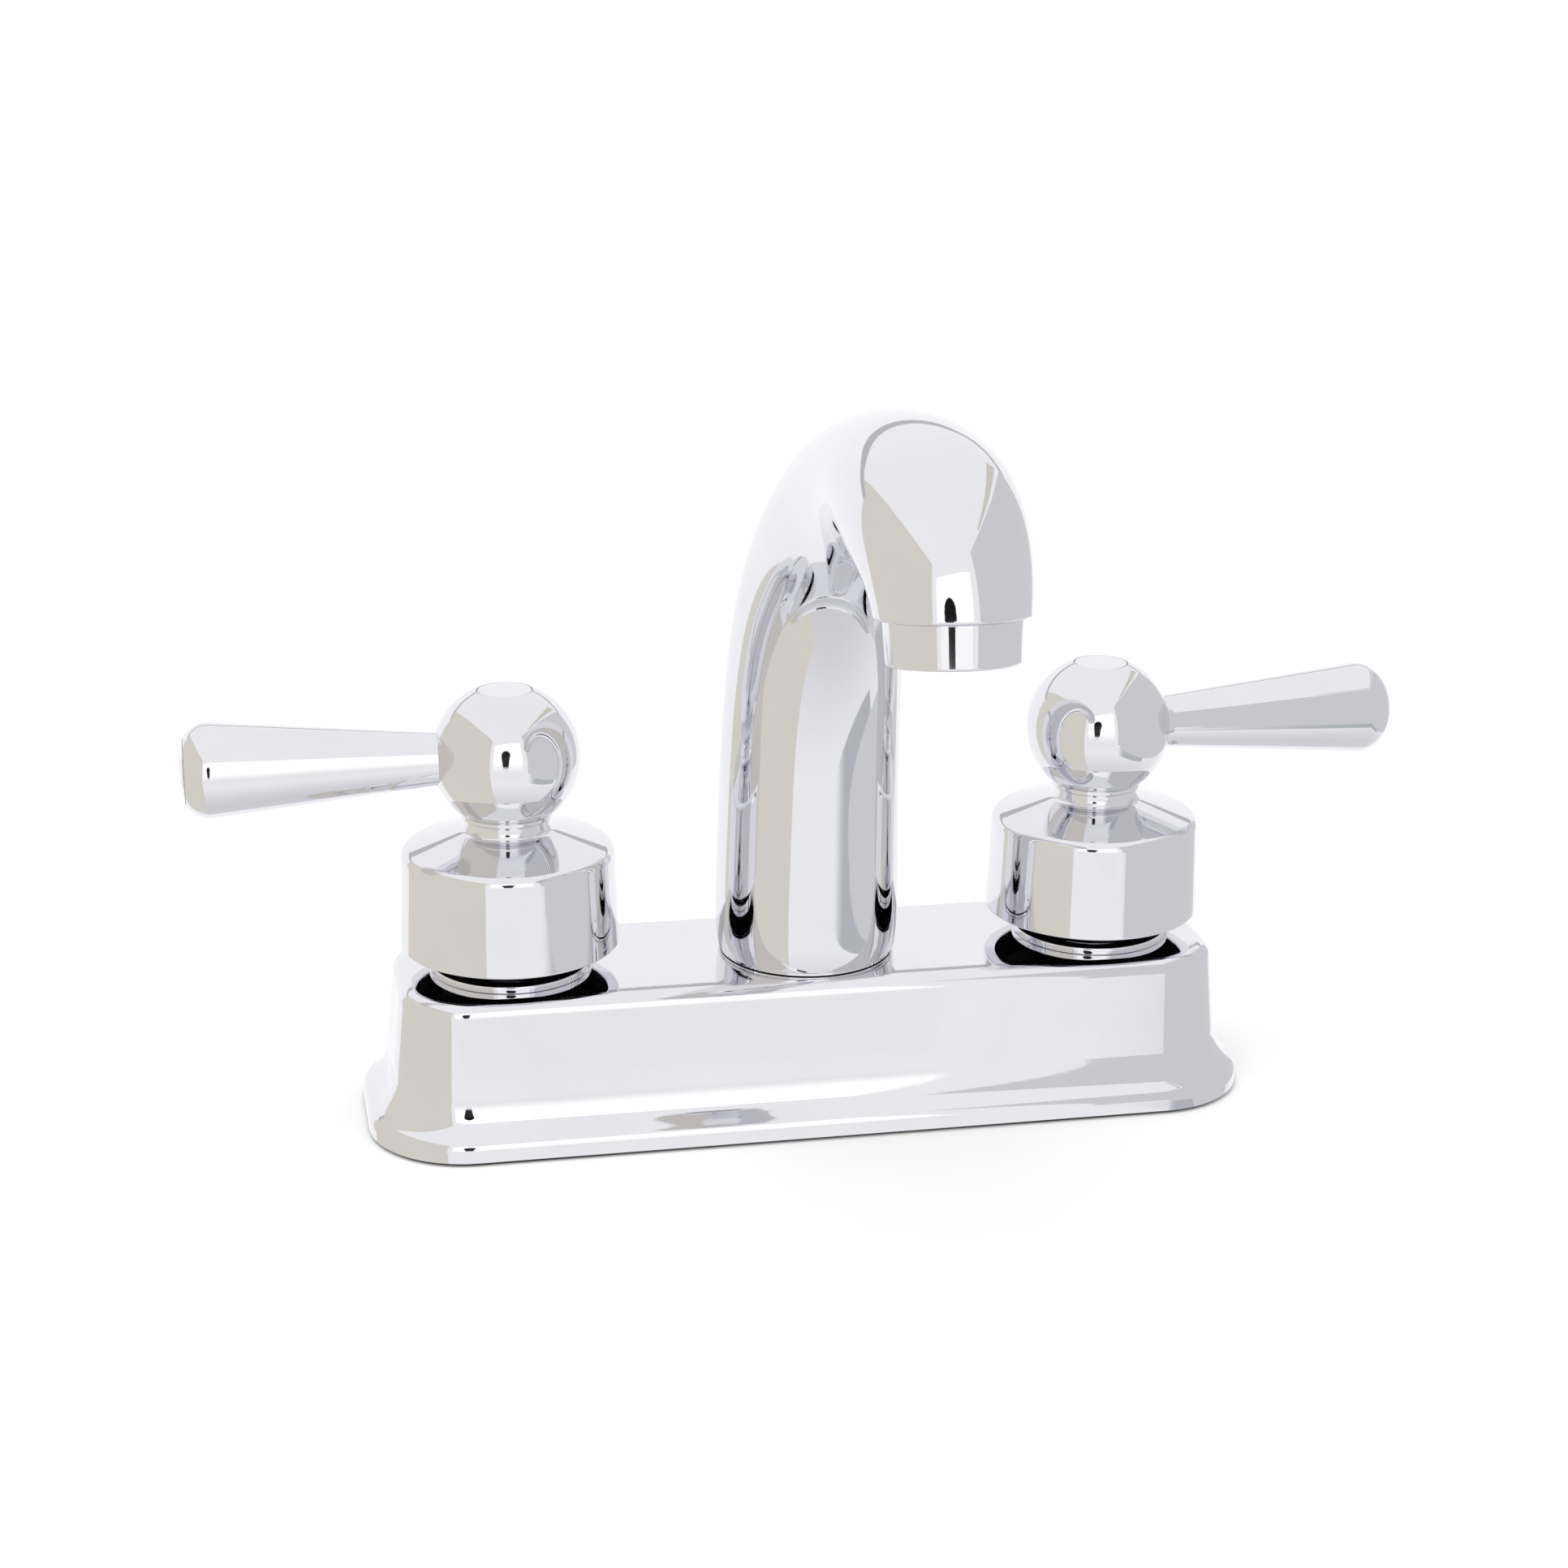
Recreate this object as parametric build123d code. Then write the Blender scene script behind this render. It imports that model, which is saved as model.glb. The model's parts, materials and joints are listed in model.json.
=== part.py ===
from build123d import *
import os
from math import asin, cos, radians, sin, sqrt

# Centreset faucet: two quarter-turn lever valves and a hooded spout on one deck shell.
# Millimetres. +Z is up, -Y points at the user, the hot side is -X.
# The origin is the middle of the underside, where the faucet sits on the sink deck.

# Sink holes and shanks
hole_spacing = 101.6
shank_radius = 10.4
shank_bore_radius = 6.0
shank_drop = 52.0
shank_seat_depth = 1.0
shank_lead = 0.8
thread_relief = 1.2
thread_relief_depth = 0.9
thread_relief_gap = 1.0
thread_clearance = 0.06
clamp_gap = 25.0
deck_hole_clearance = 0.3

# Deck shell
deck_height = 26.0
deck_wall = 2.4
foot_end = 20.7
foot_half_depth = 19.1
foot_corner = 12.5
wall_taper = 5.7
cove_top = 10.6
flange_overhang = 4.3
flange_edge = 0.6
bulge_radius = 2.4
bulge_height = 2.2
deck_edge_radius = 2.6

# Plate and gasket under the shell
gasket_thickness = 2.0
plate_thickness = 1.8
pocket_margin = 1.8
pocket_fit = 0.3
shank_hole_clearance = 0.5

# Valve body, a single casting
end_body_radius = 13.0
bridge_radius = 6.2
bridge_bore_radius = 3.8
bridge_gap = 2.4
spout_boss_radius = 12.2
spout_boss_gap = 1.2
boss_bore_radius = 6.0
inlet_port_radius = 4.2
chamber_floor_thickness = 3.4
chamber_radius = 9.6
land_height = 2.8
bonnet_thread_radius = 11.2

# Bonnet nut
bonnet_flange_radius = 13.6
bonnet_flange_thickness = 1.4
bonnet_collar_radius = 10.0
bonnet_round_height = 5.0
bonnet_hex_across_flats = 18.4
bonnet_lip = 1.6
bonnet_thread_depth = 6.0

# Ceramic cartridge
cartridge_radius = 8.6
cartridge_fit = 0.1
cartridge_rise = 10.0
cartridge_neck_radius = 6.0
cartridge_neck_height = 4.4
disc_radius = 6.5
disc_thickness = 2.6
disc_port_radius = 1.7
disc_port_offset = 3.3
seat_seal_height = 2.2
seat_seal_inner_radius = 4.4
disc_bore_radius = 6.6
window_width = 7.0
window_height = 3.0
body_ring_section = 0.85
stem_ring_section = 0.75

# Stem
stem_radius = 4.4
running_fit = 0.05
stem_flange_radius = 6.5
stem_flange_thickness = 3.2
clip_thickness = 0.8
clip_depth = 0.7
clip_spread = 1.3
drive_radius = 4.0
drive_flat = 3.1
drive_rise = 3.4

# Handle skirt
skirt_gap = 4.45
skirt_side = 16.75
skirt_rim_radius = 18.35
skirt_top_radius = 17.7
skirt_wall = 2.0
shoulder_round = 1.8
cone_rise = 3.0
neck_rise = 2.4
neck_radius = 7.1
neck_flare = 1.3

# Ball and lever, a single casting
ball_radius = 12.25
collar_radius = 7.6
collar_height = 0.76
spigot_radius = 5.9
spigot_length = 8.4
seat_fit = 0.05
drive_fit = 0.08
lever_reach = 52.9
lever_root_radius = 4.45
lever_end_radius = 8.1
lever_cap_rise = 1.9
lever_edge_radius = 4.4

# How far each closed lever stands from the line of the deck, in degrees
hot_rest_turn = 0.0
cold_rest_turn = 4.0
turning_pieces = (
    "moving_disc", "stem", "stem_clip", "skirt", "lever", "handle_screw", "index_button"
)

# Handle screw and index button
screw_radius = 1.9
screw_head_radius = 3.4
screw_head_height = 2.6
screw_length = 16.0
screw_floor = 3.0
screw_pocket_radius = 3.8
hex_key = 3.0
button_radius = 4.6
button_fit = 0.06
button_thickness = 1.8
button_crown = 0.25
button_peg = 2.4
button_peg_wall = 1.0

# Spout: the middle line as (y, height above the deck), from the foot to the mouth
spout_foot_seal = 0.6
spout_column = (-0.7, 22.0)
spout_lean = (-3.0, 44.0)
spout_shoulder = (-10.3, 64.0)
spout_bend = (-26.8, 81.8)
spout_neck = (-60.8, 94.6)
spout_crown = (-79.9, 94.3)
spout_mouth = (-94.3, 83.5)
mouth_tilt = 9.0
spout_wall = 2.4
spout_socket_radius = 9.5
spout_socket_depth = 14.0
spout_core_start = 0.16
spout_core_end = 0.93

# Spout: share of the way along the middle line, half width and half depth
foot_section = (0.0, 15.7, 15.7)
ankle_section = (0.1, 15.5, 15.7)
column_section = (0.2, 15.1, 15.5)
waist_section = (0.4, 13.7, 13.7)
shoulder_section = (0.5, 12.3, 12.3)
bend_section = (0.6, 11.3, 10.9)
neck_section = (0.7, 11.1, 10.1)
crown_section = (0.8, 11.7, 10.8)
hood_section = (0.9, 12.3, 12.1)
mouth_section = (1.0, 10.7, 10.3)

# Spout nipple, seals
nipple_bore_radius = 6.4
nipple_fit = 0.05
seal_radius = 15.3
nipple_ring_section = 0.9

# Aerator
aerator_top_radius = 9.6
aerator_bottom_radius = 9.2
aerator_height = 6.3
aerator_thread_radius = 8.1
aerator_thread_length = 6.0
aerator_bore_radius = 6.9
aerator_lip_radius = 6.1
aerator_lip = 0.9
aerator_edge = 0.5
insert_fit = 0.1
insert_height = 6.6
insert_slot_count = 8
insert_slot_radius = 0.8
insert_slot_circle = 4.6
screen_thickness = 0.6
screen_bar = 0.6
screen_pitch = 2.2
washer_thickness = 1.6

# Mounting nuts and washers
washer_outer_radius = 18.5
washer_sheet = 1.5
nut_hub_radius = 13.8
nut_height = 13.0
nut_wing_reach = 19.5
nut_wing_thickness = 3.0
nut_wing_count = 4

# Heights and radii that follow from the sizes above
side_offset = hole_spacing / 2
foot_half_length = side_offset + foot_end
deck_underside = deck_height - deck_wall
body_seat = gasket_thickness + plate_thickness
bridge_height = body_seat + bridge_radius + bridge_gap
land_top = deck_height - bonnet_thread_depth
chamber_top = land_top - land_height
chamber_floor = body_seat + chamber_floor_thickness
disc_floor = chamber_floor + seat_seal_height
stem_foot = disc_floor + 2 * disc_thickness
stem_shoulder = stem_foot + stem_flange_thickness
cartridge_shoulder = deck_height + cartridge_rise
cartridge_top = cartridge_shoulder + cartridge_neck_height
skirt_bottom = deck_height + skirt_gap
shoulder_height = skirt_bottom + skirt_side
skirt_ceiling = shoulder_height - skirt_wall
cone_top = shoulder_height + cone_rise
collar_bottom = cone_top + neck_rise
ball_height = collar_bottom + collar_height + sqrt(ball_radius**2 - collar_radius**2)
ball_flat = ball_height + sqrt(ball_radius**2 - button_radius**2)
drive_top = collar_bottom + drive_rise
screw_seat = drive_top + screw_floor
spout_foot = deck_height + spout_foot_seal
below = (Align.CENTER, Align.CENTER, Align.MAX)
above = (Align.CENTER, Align.CENTER, Align.MIN)


def rod(radius, low, high):
    """A round bar on the Z axis between two heights."""
    return Pos(0, 0, low) * Cylinder(radius, high - low, align=above)


def tube(outer, inner, low, high):
    """A round tube on the Z axis between two heights."""
    return rod(outer, low, high) - rod(inner, low, high)


def turned(*outline):
    """A solid turned about the Z axis from corners given as (radius, height)."""
    profile = make_face(Polyline(*outline, close=True))
    return revolve(Plane.XZ * profile, Axis.Z)


def o_ring(radius, section, height):
    """A rubber ring of round section."""
    return Pos(0, 0, height) * Torus(radius, section)


def slab(half_length, half_depth, corner, low, high, taper=0.0):
    """A block with a rounded rectangle for its plan and, at need, sloping walls."""
    plan = RectangleRounded(2 * half_length, 2 * half_depth, corner)
    return extrude(Pos(0, 0, low) * plan, high - low, taper=taper)


def at_both_shanks(solid):
    """Two copies of a solid, one on each handle's axis."""
    return [Pos(side * side_offset, 0, 0) * solid for side in (-1, 1)]


def foot_moulding():
    """The ogee round the foot: a convex bulge below a cove that runs into the wall."""
    bulge_offset = flange_overhang - bulge_radius
    rise = cove_top - bulge_height
    cove_radius = (bulge_offset**2 + rise**2 - bulge_radius**2) / (2 * flange_overhang)
    span = bulge_radius + cove_radius
    meet_x = bulge_offset + bulge_radius * (cove_radius - bulge_offset) / span
    meet_z = bulge_height + bulge_radius * rise / span
    half_turn = asin(rise / span) / 2
    bulge_mid_x = bulge_offset + bulge_radius * cos(half_turn)
    bulge_mid_z = bulge_height + bulge_radius * sin(half_turn)
    cove_mid_x = cove_radius * (1 - cos(half_turn))
    cove_mid_z = cove_top - cove_radius * sin(half_turn)
    outline = Curve() + [
        Line((-deck_wall, 0), (flange_overhang - flange_edge, 0)),
        Line((flange_overhang - flange_edge, 0), (flange_overhang, flange_edge)),
        Line((flange_overhang, flange_edge), (flange_overhang, bulge_height)),
        ThreePointArc((flange_overhang, bulge_height), (bulge_mid_x, bulge_mid_z), (meet_x, meet_z)),
        ThreePointArc((meet_x, meet_z), (cove_mid_x, cove_mid_z), (0, cove_top)),
        Line((0, cove_top), (-deck_wall, cove_top)),
        Line((-deck_wall, cove_top), (-deck_wall, 0)),
    ]
    front = Plane(origin=(0, -foot_half_depth, 0), x_dir=(0, -1, 0), z_dir=(-1, 0, 0))
    path = FilletPolyline(
        (0, -foot_half_depth),
        (foot_half_length, -foot_half_depth),
        (foot_half_length, foot_half_depth),
        (0, foot_half_depth),
        radius=foot_corner,
    )
    right_half = sweep(front * make_face(outline), path=path)
    return right_half + mirror(right_half, about=Plane.YZ)


def deck_shell():
    """The chromed cover: hollow below, with holes for the two bonnets and the spout."""
    lower = slab(foot_half_length, foot_half_depth, foot_corner, 0, cove_top)
    upper = slab(foot_half_length, foot_half_depth, foot_corner, cove_top, deck_height, wall_taper)
    block = lower + upper
    block = fillet(block.edges().group_by(Axis.Z)[-1], deck_edge_radius)
    block += foot_moulding()
    inner_corner = foot_corner - deck_wall
    inner = (foot_half_length - deck_wall, foot_half_depth - deck_wall, inner_corner)
    block -= slab(*inner, body_seat, cove_top)
    block -= slab(*inner, cove_top, deck_underside, wall_taper)
    block -= slab(
        foot_half_length + pocket_margin,
        foot_half_depth + pocket_margin,
        foot_corner + pocket_margin,
        0,
        body_seat,
    )
    for hole in at_both_shanks(rod(bonnet_thread_radius + deck_hole_clearance, deck_underside, deck_height)):
        block -= hole
    block -= rod(spout_socket_radius + deck_hole_clearance, deck_underside, deck_height)
    return block


def pocket_sheet(low, high):
    """A flat sheet that fills the recess under the shell, with two shank holes."""
    sheet = slab(
        foot_half_length + pocket_margin - pocket_fit,
        foot_half_depth + pocket_margin - pocket_fit,
        foot_corner + pocket_margin - pocket_fit,
        low,
        high,
    )
    for hole in at_both_shanks(rod(shank_radius + shank_hole_clearance, low, high)):
        sheet -= hole
    return sheet


def valve_body():
    """Two valve chambers, the bridge between them and the spout boss, cast in one."""
    casting = Pos(0, 0, bridge_height) * Rot(0, 90, 0) * Cylinder(bridge_radius, hole_spacing)
    casting += rod(spout_boss_radius, body_seat + spout_boss_gap, deck_underside)
    for end in at_both_shanks(rod(end_body_radius, body_seat, deck_underside)):
        casting += end
    bore = rod(shank_radius + thread_clearance, body_seat, body_seat + shank_seat_depth)
    bore += rod(inlet_port_radius, body_seat, chamber_floor)
    bore += rod(chamber_radius, chamber_floor, chamber_top)
    bore += rod(cartridge_radius + cartridge_fit, chamber_top, land_top)
    bore += rod(bonnet_thread_radius + thread_clearance, land_top, deck_underside)
    for chamber in at_both_shanks(bore):
        casting -= chamber
    casting -= Pos(0, 0, bridge_height) * Rot(0, 90, 0) * Cylinder(bridge_bore_radius, hole_spacing)
    socket_floor = bridge_height + bridge_bore_radius
    casting -= rod(boss_bore_radius, bridge_height - bridge_bore_radius, socket_floor)
    casting -= rod(spout_socket_radius, socket_floor, deck_underside)
    ring_seat = 2 * nipple_ring_section
    casting -= rod(spout_socket_radius + ring_seat, deck_underside - ring_seat, deck_underside)
    return casting


def shank():
    """The pipe brazed in below a chamber; a groove sets off the thread for the supply hose."""
    top = body_seat + shank_seat_depth
    pipe = rod(shank_radius, -shank_drop, top)
    pipe = chamfer(pipe.edges().group_by(Axis.Z)[0], shank_lead)
    pipe -= rod(shank_bore_radius, -shank_drop, top)
    groove_top = -clamp_gap - washer_sheet - nut_height - thread_relief_gap
    groove_floor = shank_radius - thread_relief_depth
    return pipe - tube(shank_radius, groove_floor, groove_top - thread_relief, groove_top)


def bonnet_nut():
    """Clamps the shell to the valve body and holds the cartridge down."""
    flange_top = deck_height + bonnet_flange_thickness
    round_top = deck_height + bonnet_round_height
    nut_top = cartridge_shoulder + bonnet_lip
    nut = rod(bonnet_thread_radius, deck_height - bonnet_thread_depth, deck_height)
    nut += rod(bonnet_flange_radius, deck_height, flange_top)
    nut += rod(bonnet_collar_radius, flange_top, round_top)
    hexagon = RegularPolygon(bonnet_hex_across_flats / 2, 6, major_radius=False)
    wrench_faces = extrude(Pos(0, 0, round_top) * hexagon, nut_top - round_top)
    nut += wrench_faces & rod(bonnet_collar_radius, round_top, nut_top)
    nut -= rod(cartridge_radius + cartridge_fit, deck_height - bonnet_thread_depth, cartridge_shoulder)
    return nut - rod(cartridge_neck_radius + cartridge_fit, cartridge_shoulder, nut_top)


def seat_seal():
    """The rubber seat between the valve body and the fixed disc."""
    return tube(disc_radius, seat_seal_inner_radius, chamber_floor, disc_floor)


def ceramic_disc(low, turn):
    """A ceramic disc with two ports side by side."""
    disc = rod(disc_radius, low, low + disc_thickness)
    for side in (-1, 1):
        port = Pos(side * disc_port_offset, 0, 0) * rod(disc_port_radius, low, low + disc_thickness)
        disc -= Rot(0, 0, turn) * port
    return disc


def cartridge_body():
    """The brass sleeve that holds the discs and carries the stem."""
    shell = rod(cartridge_radius, chamber_floor, cartridge_shoulder)
    shell += rod(cartridge_neck_radius, cartridge_shoulder, cartridge_top)
    shell -= rod(disc_bore_radius, chamber_floor, stem_shoulder + running_fit)
    shell -= rod(stem_radius + running_fit, stem_shoulder, cartridge_top)
    window = Box(2 * cartridge_radius, window_width, window_height)
    shell -= Pos(0, 0, stem_foot + stem_flange_thickness / 2) * Rot(0, 0, 90) * window
    groove_height = (chamber_top + land_top) / 2
    groove = tube(
        cartridge_radius,
        cartridge_radius - 2 * body_ring_section,
        groove_height - body_ring_section,
        groove_height + body_ring_section,
    )
    shell -= groove
    return shell - tube(
        stem_radius + running_fit + 2 * stem_ring_section,
        stem_radius,
        stem_ring_height() - stem_ring_section,
        stem_ring_height() + stem_ring_section,
    )


def stem_ring_height():
    """The height of the ring that seals the stem in its sleeve."""
    return (stem_shoulder + cartridge_shoulder) / 2


def cartridge_ring():
    """Seals the sleeve in the valve body."""
    return o_ring(cartridge_radius - body_ring_section, body_ring_section, (chamber_top + land_top) / 2)


def stem_ring():
    """Seals the stem in the sleeve."""
    middle = stem_radius + running_fit + stem_ring_section
    return o_ring(middle, stem_ring_section, stem_ring_height())


def drive_bar(radius, flat, low, high):
    """A round bar with two flats, the shape that turns the handle with the stem."""
    return rod(radius, low, high) & Pos(0, 0, low) * Box(
        2 * radius, 2 * flat, high - low, align=above
    )


def stem():
    """Turns the moving disc; its top is flatted for the handle and tapped for the screw."""
    spindle = rod(stem_flange_radius, stem_foot, stem_shoulder)
    spindle += rod(stem_radius, stem_shoulder, collar_bottom - spigot_length)
    spindle += drive_bar(drive_radius, drive_flat, collar_bottom - spigot_length, drive_top)
    spindle -= tube(
        stem_radius,
        stem_radius - clip_depth,
        cartridge_top + running_fit,
        cartridge_top + running_fit + clip_thickness,
    )
    return spindle - rod(screw_radius, screw_seat - screw_length, drive_top)


def stem_clip():
    """The open spring ring that keeps the stem in its sleeve."""
    low = cartridge_top + 2 * running_fit
    high = low + clip_thickness - 2 * running_fit
    ring = tube(stem_radius + clip_spread, stem_radius - clip_depth + running_fit, low, high)
    mouth = Box(2 * stem_radius, stem_radius, clip_thickness, align=(Align.MIN, Align.CENTER, Align.MIN))
    return ring - Pos(0, 0, low) * mouth


def handle_skirt():
    """The bell below the ball: a thin wall, a sloping shoulder and a short neck."""
    neck_foot = cone_top + neck_flare
    cone_top_radius = neck_radius + neck_flare
    flare_mid = neck_flare * (1 - sin(radians(45)))
    outside = Curve() + [
        Line((0, skirt_bottom), (skirt_rim_radius, skirt_bottom)),
        Line((skirt_rim_radius, skirt_bottom), (skirt_top_radius, shoulder_height)),
        Line((skirt_top_radius, shoulder_height), (cone_top_radius, cone_top)),
        ThreePointArc(
            (cone_top_radius, cone_top),
            (neck_radius + flare_mid, cone_top + flare_mid),
            (neck_radius, neck_foot),
        ),
        Line((neck_radius, neck_foot), (neck_radius, collar_bottom)),
        Line((neck_radius, collar_bottom), (0, collar_bottom)),
        Line((0, collar_bottom), (0, skirt_bottom)),
    ]
    half_section = make_face(outside)
    shoulder = half_section.vertices().sort_by_distance((skirt_top_radius, shoulder_height))[0]
    bell = revolve(Plane.XZ * fillet(shoulder, shoulder_round), Axis.Z)
    hollow = turned(
        (0, skirt_bottom),
        (skirt_rim_radius - skirt_wall, skirt_bottom),
        (skirt_top_radius - skirt_wall, skirt_ceiling),
        (0, skirt_ceiling),
    )
    return bell - hollow - rod(spigot_radius + seat_fit, skirt_ceiling, collar_bottom)


def ball():
    """The ball with its flat top and the collar that it stands on."""
    collar_meet = ball_height - sqrt(ball_radius**2 - collar_radius**2)
    profile = Curve() + [
        Line((0, collar_bottom), (collar_radius, collar_bottom)),
        Line((collar_radius, collar_bottom), (collar_radius, collar_meet)),
        ThreePointArc(
            (collar_radius, collar_meet), (ball_radius, ball_height), (button_radius, ball_flat)
        ),
        Line((button_radius, ball_flat), (0, ball_flat)),
        Line((0, ball_flat), (0, collar_bottom)),
    ]
    return Rot(0, 0, 90) * revolve(Plane.XZ * make_face(profile), Axis.Z)


def lever_arm():
    """The tapered bar with its rounded end, lying along +X from inside the ball."""
    root = ball_radius / 2
    cap_x = lever_reach - lever_cap_rise
    cap_radius = (lever_end_radius**2 + lever_cap_rise**2) / (2 * lever_cap_rise)
    half_turn = asin(lever_end_radius / cap_radius) / 2
    cap_mid = (lever_reach - cap_radius * (1 - cos(half_turn)), cap_radius * sin(half_turn))
    profile = Curve() + [
        Line((root, 0), (root, lever_root_radius)),
        Line((root, lever_root_radius), (ball_radius, lever_root_radius)),
        Line((ball_radius, lever_root_radius), (cap_x, lever_end_radius)),
        ThreePointArc((cap_x, lever_end_radius), cap_mid, (lever_reach, 0)),
        Line((lever_reach, 0), (root, 0)),
    ]
    half_section = make_face(profile)
    corner = half_section.vertices().sort_by(Axis.Y)[-1]
    return revolve(fillet(corner, lever_edge_radius), Axis.X)


def lever(side):
    """Ball, collar, spigot and lever arm in one casting; side is -1 for hot, 1 for cold."""
    socket_top = drive_top + drive_fit
    plug_floor = ball_flat - button_thickness
    handle = ball() + Pos(0, 0, ball_height) * Rot(0, 0, 90 - 90 * side) * lever_arm()
    handle += rod(spigot_radius, collar_bottom - spigot_length, collar_bottom)
    handle -= drive_bar(
        drive_radius + drive_fit, drive_flat + drive_fit, collar_bottom - spigot_length, socket_top
    )
    handle -= rod(screw_radius + thread_clearance, socket_top, screw_seat)
    handle -= rod(screw_pocket_radius, screw_seat, plug_floor)
    return handle - rod(button_radius, plug_floor, ball_flat)


def handle_screw():
    """Holds the lever and the skirt down on the stem."""
    head_top = screw_seat + screw_head_height
    screw = rod(screw_radius - thread_clearance, screw_seat - screw_length, screw_seat)
    screw += rod(screw_head_radius, screw_seat, head_top)
    socket = RegularPolygon(hex_key / 2, 6, major_radius=False)
    depth = screw_head_height / 2
    return screw - extrude(Pos(0, 0, head_top - depth) * socket, depth)


def index_button():
    """The plain round plug in the top of the ball."""
    radius = button_radius - button_fit
    floor = ball_flat - button_thickness
    peg_inner = screw_pocket_radius - button_peg_wall
    plug = rod(radius, floor, ball_flat)
    plug += tube(screw_pocket_radius - button_fit, peg_inner, floor - button_peg, floor)
    return plug


def spout_line():
    """The middle line of the spout, from the foot up and over to the mouth."""
    stations = [
        spout_column,
        spout_lean,
        spout_shoulder,
        spout_bend,
        spout_neck,
        spout_crown,
        spout_mouth,
    ]
    points = [(0, 0, spout_foot)] + [(0, y, deck_height + rise) for y, rise in stations]
    tilt = radians(mouth_tilt)
    return Spline(*points, tangents=[(0, 0, 1), (0, -sin(tilt), -cos(tilt))])


def spout_section(line, section, inset):
    """An ellipse square to the middle line, drawn in by a wall at need."""
    share, half_width, half_depth = section
    ellipse = Ellipse(half_width - inset, half_depth - inset)
    plane = Plane(origin=line @ share, x_dir=(1, 0, 0), z_dir=line % share)
    return plane * ellipse


def mouth_place():
    """The plane of the spout's mouth; its normal points down, out of the mouth."""
    tilt = radians(mouth_tilt)
    y, rise = spout_mouth
    mouth = (0, y, deck_height + rise)
    return Plane(origin=mouth, x_dir=(1, 0, 0), z_dir=(0, -sin(tilt), -cos(tilt)))


def spout():
    """The cast spout: a round column that leans over, narrows and swells into a hood."""
    line = spout_line()
    stations = [
        foot_section,
        ankle_section,
        column_section,
        waist_section,
        shoulder_section,
        bend_section,
        neck_section,
        crown_section,
        hood_section,
        mouth_section,
    ]
    casting = loft([spout_section(line, section, 0) for section in stations])
    core_stations = [
        (spout_core_start, foot_section[1], foot_section[2]),
        *stations[2:-1],
        (spout_core_end, mouth_section[1], mouth_section[2]),
    ]
    casting -= loft([spout_section(line, section, spout_wall) for section in core_stations])
    casting -= rod(spout_socket_radius, spout_foot, spout_foot + spout_socket_depth)
    casting -= rod(nipple_bore_radius, spout_foot, spout_foot + 2 * spout_socket_depth)
    depth = aerator_thread_length + washer_thickness
    bore = Cylinder(aerator_thread_radius + thread_clearance, depth, align=below)
    past_mouth = Cylinder(2 * aerator_top_radius, aerator_height, align=above)
    return casting - mouth_place() * bore - mouth_place() * past_mouth


def spout_nipple():
    """The threaded pipe that joins the spout to the valve body."""
    low = bridge_height + bridge_bore_radius
    high = spout_foot + spout_socket_depth
    return tube(spout_socket_radius - nipple_fit, nipple_bore_radius, low, high)


def spout_seal():
    """The thin rubber washer under the spout's foot."""
    return tube(seal_radius, spout_socket_radius + nipple_fit, deck_height, spout_foot)


def nipple_ring():
    """Seals the nipple in the valve body."""
    middle = spout_socket_radius + nipple_ring_section
    return o_ring(middle, nipple_ring_section, deck_underside - nipple_ring_section)


def aerator_housing():
    """The chromed ring below the hood, with the thread that screws up into it."""
    ring = turned(
        (0, 0),
        (aerator_top_radius, 0),
        (aerator_bottom_radius, aerator_height),
        (0, aerator_height),
    )
    ring = chamfer(ring.edges().group_by(Axis.Z)[-1], aerator_edge)
    ring += rod(aerator_thread_radius, -aerator_thread_length, 0)
    ring -= rod(aerator_bore_radius, -aerator_thread_length, aerator_height - aerator_lip)
    ring -= rod(aerator_lip_radius, aerator_height - aerator_lip, aerator_height)
    return mouth_place() * ring


def aerator_insert():
    """The plastic flow straightener with its ring of round passages."""
    low = aerator_height - aerator_lip - screen_thickness - insert_height
    plug = rod(aerator_bore_radius - insert_fit, low, low + insert_height)
    for place in PolarLocations(insert_slot_circle, insert_slot_count):
        plug -= place * rod(insert_slot_radius, low, low + insert_height)
    return mouth_place() * plug


def aerator_screen():
    """The steel grille that the water leaves through."""
    high = aerator_height - aerator_lip
    low = high - screen_thickness
    outer = aerator_bore_radius - insert_fit
    grille = tube(outer, aerator_lip_radius - screen_bar, low, high)
    count = int(aerator_lip_radius / screen_pitch)
    for step in range(-count, count + 1):
        reach = 2 * sqrt(outer**2 - (step * screen_pitch) ** 2)
        bar = Box(reach, screen_bar, screen_thickness, align=above)
        for turn in (0, 90):
            grille += Rot(0, 0, turn) * Pos(0, step * screen_pitch, low) * bar
    return mouth_place() * (grille & rod(outer, low, high))


def aerator_washer():
    """The rubber washer above the aerator's thread."""
    low = -aerator_thread_length - washer_thickness
    outer = aerator_thread_radius - insert_fit
    return mouth_place() * tube(outer, aerator_lip_radius, low, -aerator_thread_length)


def mounting_washer():
    """The flat washer pressed up against the underside of the sink."""
    bore = shank_radius + shank_hole_clearance
    return tube(washer_outer_radius, bore, -clamp_gap - washer_sheet, -clamp_gap)


def mounting_nut():
    """The winged nut that is tightened by hand on the shank."""
    high = -clamp_gap - washer_sheet
    low = high - nut_height
    nut = rod(nut_hub_radius, low, high)
    wing = Box(
        nut_wing_reach, nut_wing_thickness, nut_height, align=(Align.MIN, Align.CENTER, Align.MIN)
    )
    for turn in range(nut_wing_count):
        nut += Rot(0, 0, turn * 360 / nut_wing_count) * Pos(0, 0, low) * wing
    return nut - rod(shank_radius + thread_clearance, low, high)


def save(name, solid):
    """Write one piece to its own file."""
    export_step(solid, f"parts/{name}.step")


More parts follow.
